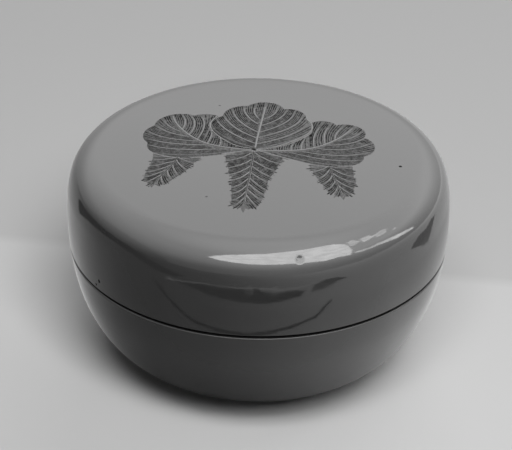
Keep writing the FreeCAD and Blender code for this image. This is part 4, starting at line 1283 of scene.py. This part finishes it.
def add_card(name, places, strength, mottled=0.0, higher=None):
    """A flat or bent card with a glow that only mirrors see, from its outline's places.

    The eye sees it as a painted reflection of a window, a wall or the edge of a sheet in the
    box's polish. higher is an elevation in degrees and the glow's strength there, if that
    changes upwards.
    """
    mesh = bpy.data.meshes.new(name)
    mesh.from_pydata(places, [], [range(len(places))])
    material, tree = new_material(name)
    place = add_node(tree, "ShaderNodeTexCoord").outputs["Object"]
    level = strength
    if mottled:
        patches = add_node(tree, "ShaderNodeTexNoise", {
            "Vector": place, "Scale": 1 / PATCH_SIZE, "Detail": 3.0})
        level = add_node(tree, "ShaderNodeMapRange", {
            "Value": patches, "From Min": 0.35, "From Max": 0.65,
            "To Min": strength * (1 - mottled), "To Max": strength * (1 + mottled)})
    if higher:
        way = add_node(tree, "ShaderNodeVectorMath", {0: place}, operation="NORMALIZE")
        parts = add_node(tree, "ShaderNodeSeparateXYZ", {0: way}).outputs
        level = add_node(tree, "ShaderNodeMapRange", {
            "Value": parts["Z"], "From Max": math.sin(math.radians(higher[0])),
            "To Min": strength, "To Max": higher[1]})
    glow = add_node(tree, "ShaderNodeEmission", {"Strength": level})
    add_node(tree, "ShaderNodeOutputMaterial", {"Surface": glow})
    mesh.materials.append(material)
    card = add_object(name, mesh)
    card.visible_camera = card.visible_diffuse = card.visible_shadow = False
    card.visible_transmission = False


def make_room():
    """The room as the world: plain light, and for mirrors a painted reflection paler overhead."""
    world = bpy.data.worlds.new("room")
    bpy.context.scene.world = world
    world.use_nodes = True
    tree = world.node_tree
    tree.nodes.clear()
    way = add_node(tree, "ShaderNodeTexCoord").outputs["Generated"]
    parts = add_node(tree, "ShaderNodeSeparateXYZ", {0: way}).outputs
    mirrored, brightest = two_tones(
        tree, parts["Z"], ROOM_REFLECTION_TONES, lambda elevation: math.sin(math.radians(elevation)),
        turned_share(tree, way, PALE_SIDE, *PALE_SIDE_FADE, interpolation_type="SMOOTHSTEP"))
    painted_room_reflection = add_node(tree, "ShaderNodeBackground", {
        "Color": mirrored, "Strength": brightest})
    plain = add_node(tree, "ShaderNodeBackground", {"Strength": ROOM_PLAIN})
    backdrop = add_node(tree, "ShaderNodeBackground", {"Color": linear(TABLE)})
    path = add_node(tree, "ShaderNodeLightPath").outputs
    seen = add_node(tree, "ShaderNodeMixShader", {
        0: path["Is Camera Ray"], 1: plain, 2: backdrop})
    either = add_node(tree, "ShaderNodeMixShader", {
        0: path["Is Glossy Ray"], 1: seen, 2: painted_room_reflection})
    add_node(tree, "ShaderNodeOutputWorld", {"Surface": either})


def strip(line, width):
    """The outline of a strip as wide as said away from the camera, along a line."""
    return ([(x, y + width / 2) for x, y in line]
            + [(x, y - width / 2) for x, y in line[::-1]])


def make_lights():
    """Soft light from four lamps on everything, with painted reflections for the gloss to mirror.
    """
    for lamp in LAMPS:
        add_lamp(*lamp)
    # Painted reflections of the window, its blinds and the left wall, as cards that glow for
    # mirrors.
    # Name, outline, glow, how mottled, and the elevation and glow that it changes to.
    openings = [("window", WINDOW, 11.5, 0.1, None), ("left_wall", LEFT_WALL, 0.42, 0, (20, 1.65))]
    openings += [("blind", outline, 8.8, 0.2, None) for outline in BLINDS]
    for name, outline, *glow in openings:
        add_card(name, [direction(*place) * CARD_DISTANCE for place in outline], *glow)
    # Painted reflections of dark and pale things on the table, as cards just over the floor.
    # Name, outline and glow, with strips a few millimetres wide.
    on_floor = (
        ("sheet_edge", SHEET_EDGE, 0.12), ("side_edge", SIDE_EDGE, 0.4),
        ("left_dark", LEFT_DARK, 0.15), ("right_dark", RIGHT_DARK, 0.5),
        ("fold", strip(FOLD, 2.2), 0.05), ("sheet_rim", strip(SHEET_RIM, 5), 1.5),
        ("left_leg", [(-13, -117), (-3, -117), (-4, -130), (-12, -175)], 0.95),
        ("right_leg", [(13, -115), (22, -117), (26, -155), (17, -130)], 1.2))
    for name, outline, strength in on_floor:
        add_card(name, [(x * MM, y * MM, CARD_LIFT) for x, y in outline], strength)
    make_room()


class INCENSE_PT_panel(bpy.types.Panel):
    """Lists the box's pieces in the sidebar"""
    bl_idname = "INCENSE_PT_panel"
    bl_label = "Incense Box"
    bl_space_type = "VIEW_3D"
    bl_region_type = "UI"
    bl_category = "Incense Box"

    def draw(self, context):
        for operator in OPERATORS:
            self.layout.operator(operator.bl_idname)


OPERATORS = (INCENSE_OT_base, INCENSE_OT_collar, INCENSE_OT_lid, INCENSE_OT_crest,
             INCENSE_OT_stage)
CLASSES = (BoxSizes, CrestSizes, Finishes, *OPERATORS, INCENSE_PT_panel)


def register():
    for item in CLASSES:
        bpy.utils.register_class(item)
    bpy.types.Scene.incense_sizes = PointerProperty(type=BoxSizes)
    bpy.types.Scene.incense_crest = PointerProperty(type=CrestSizes)
    bpy.types.Scene.incense_finishes = PointerProperty(type=Finishes)


def unregister():
    del bpy.types.Scene.incense_finishes
    del bpy.types.Scene.incense_crest
    del bpy.types.Scene.incense_sizes
    for item in reversed(CLASSES):
        bpy.utils.unregister_class(item)


def main():
    register()
    bpy.ops.incense.base()
    bpy.ops.incense.collar()
    bpy.ops.incense.lid()
    bpy.ops.incense.crest()
    bpy.ops.incense.stage()


if __name__ == "__main__":
    main()
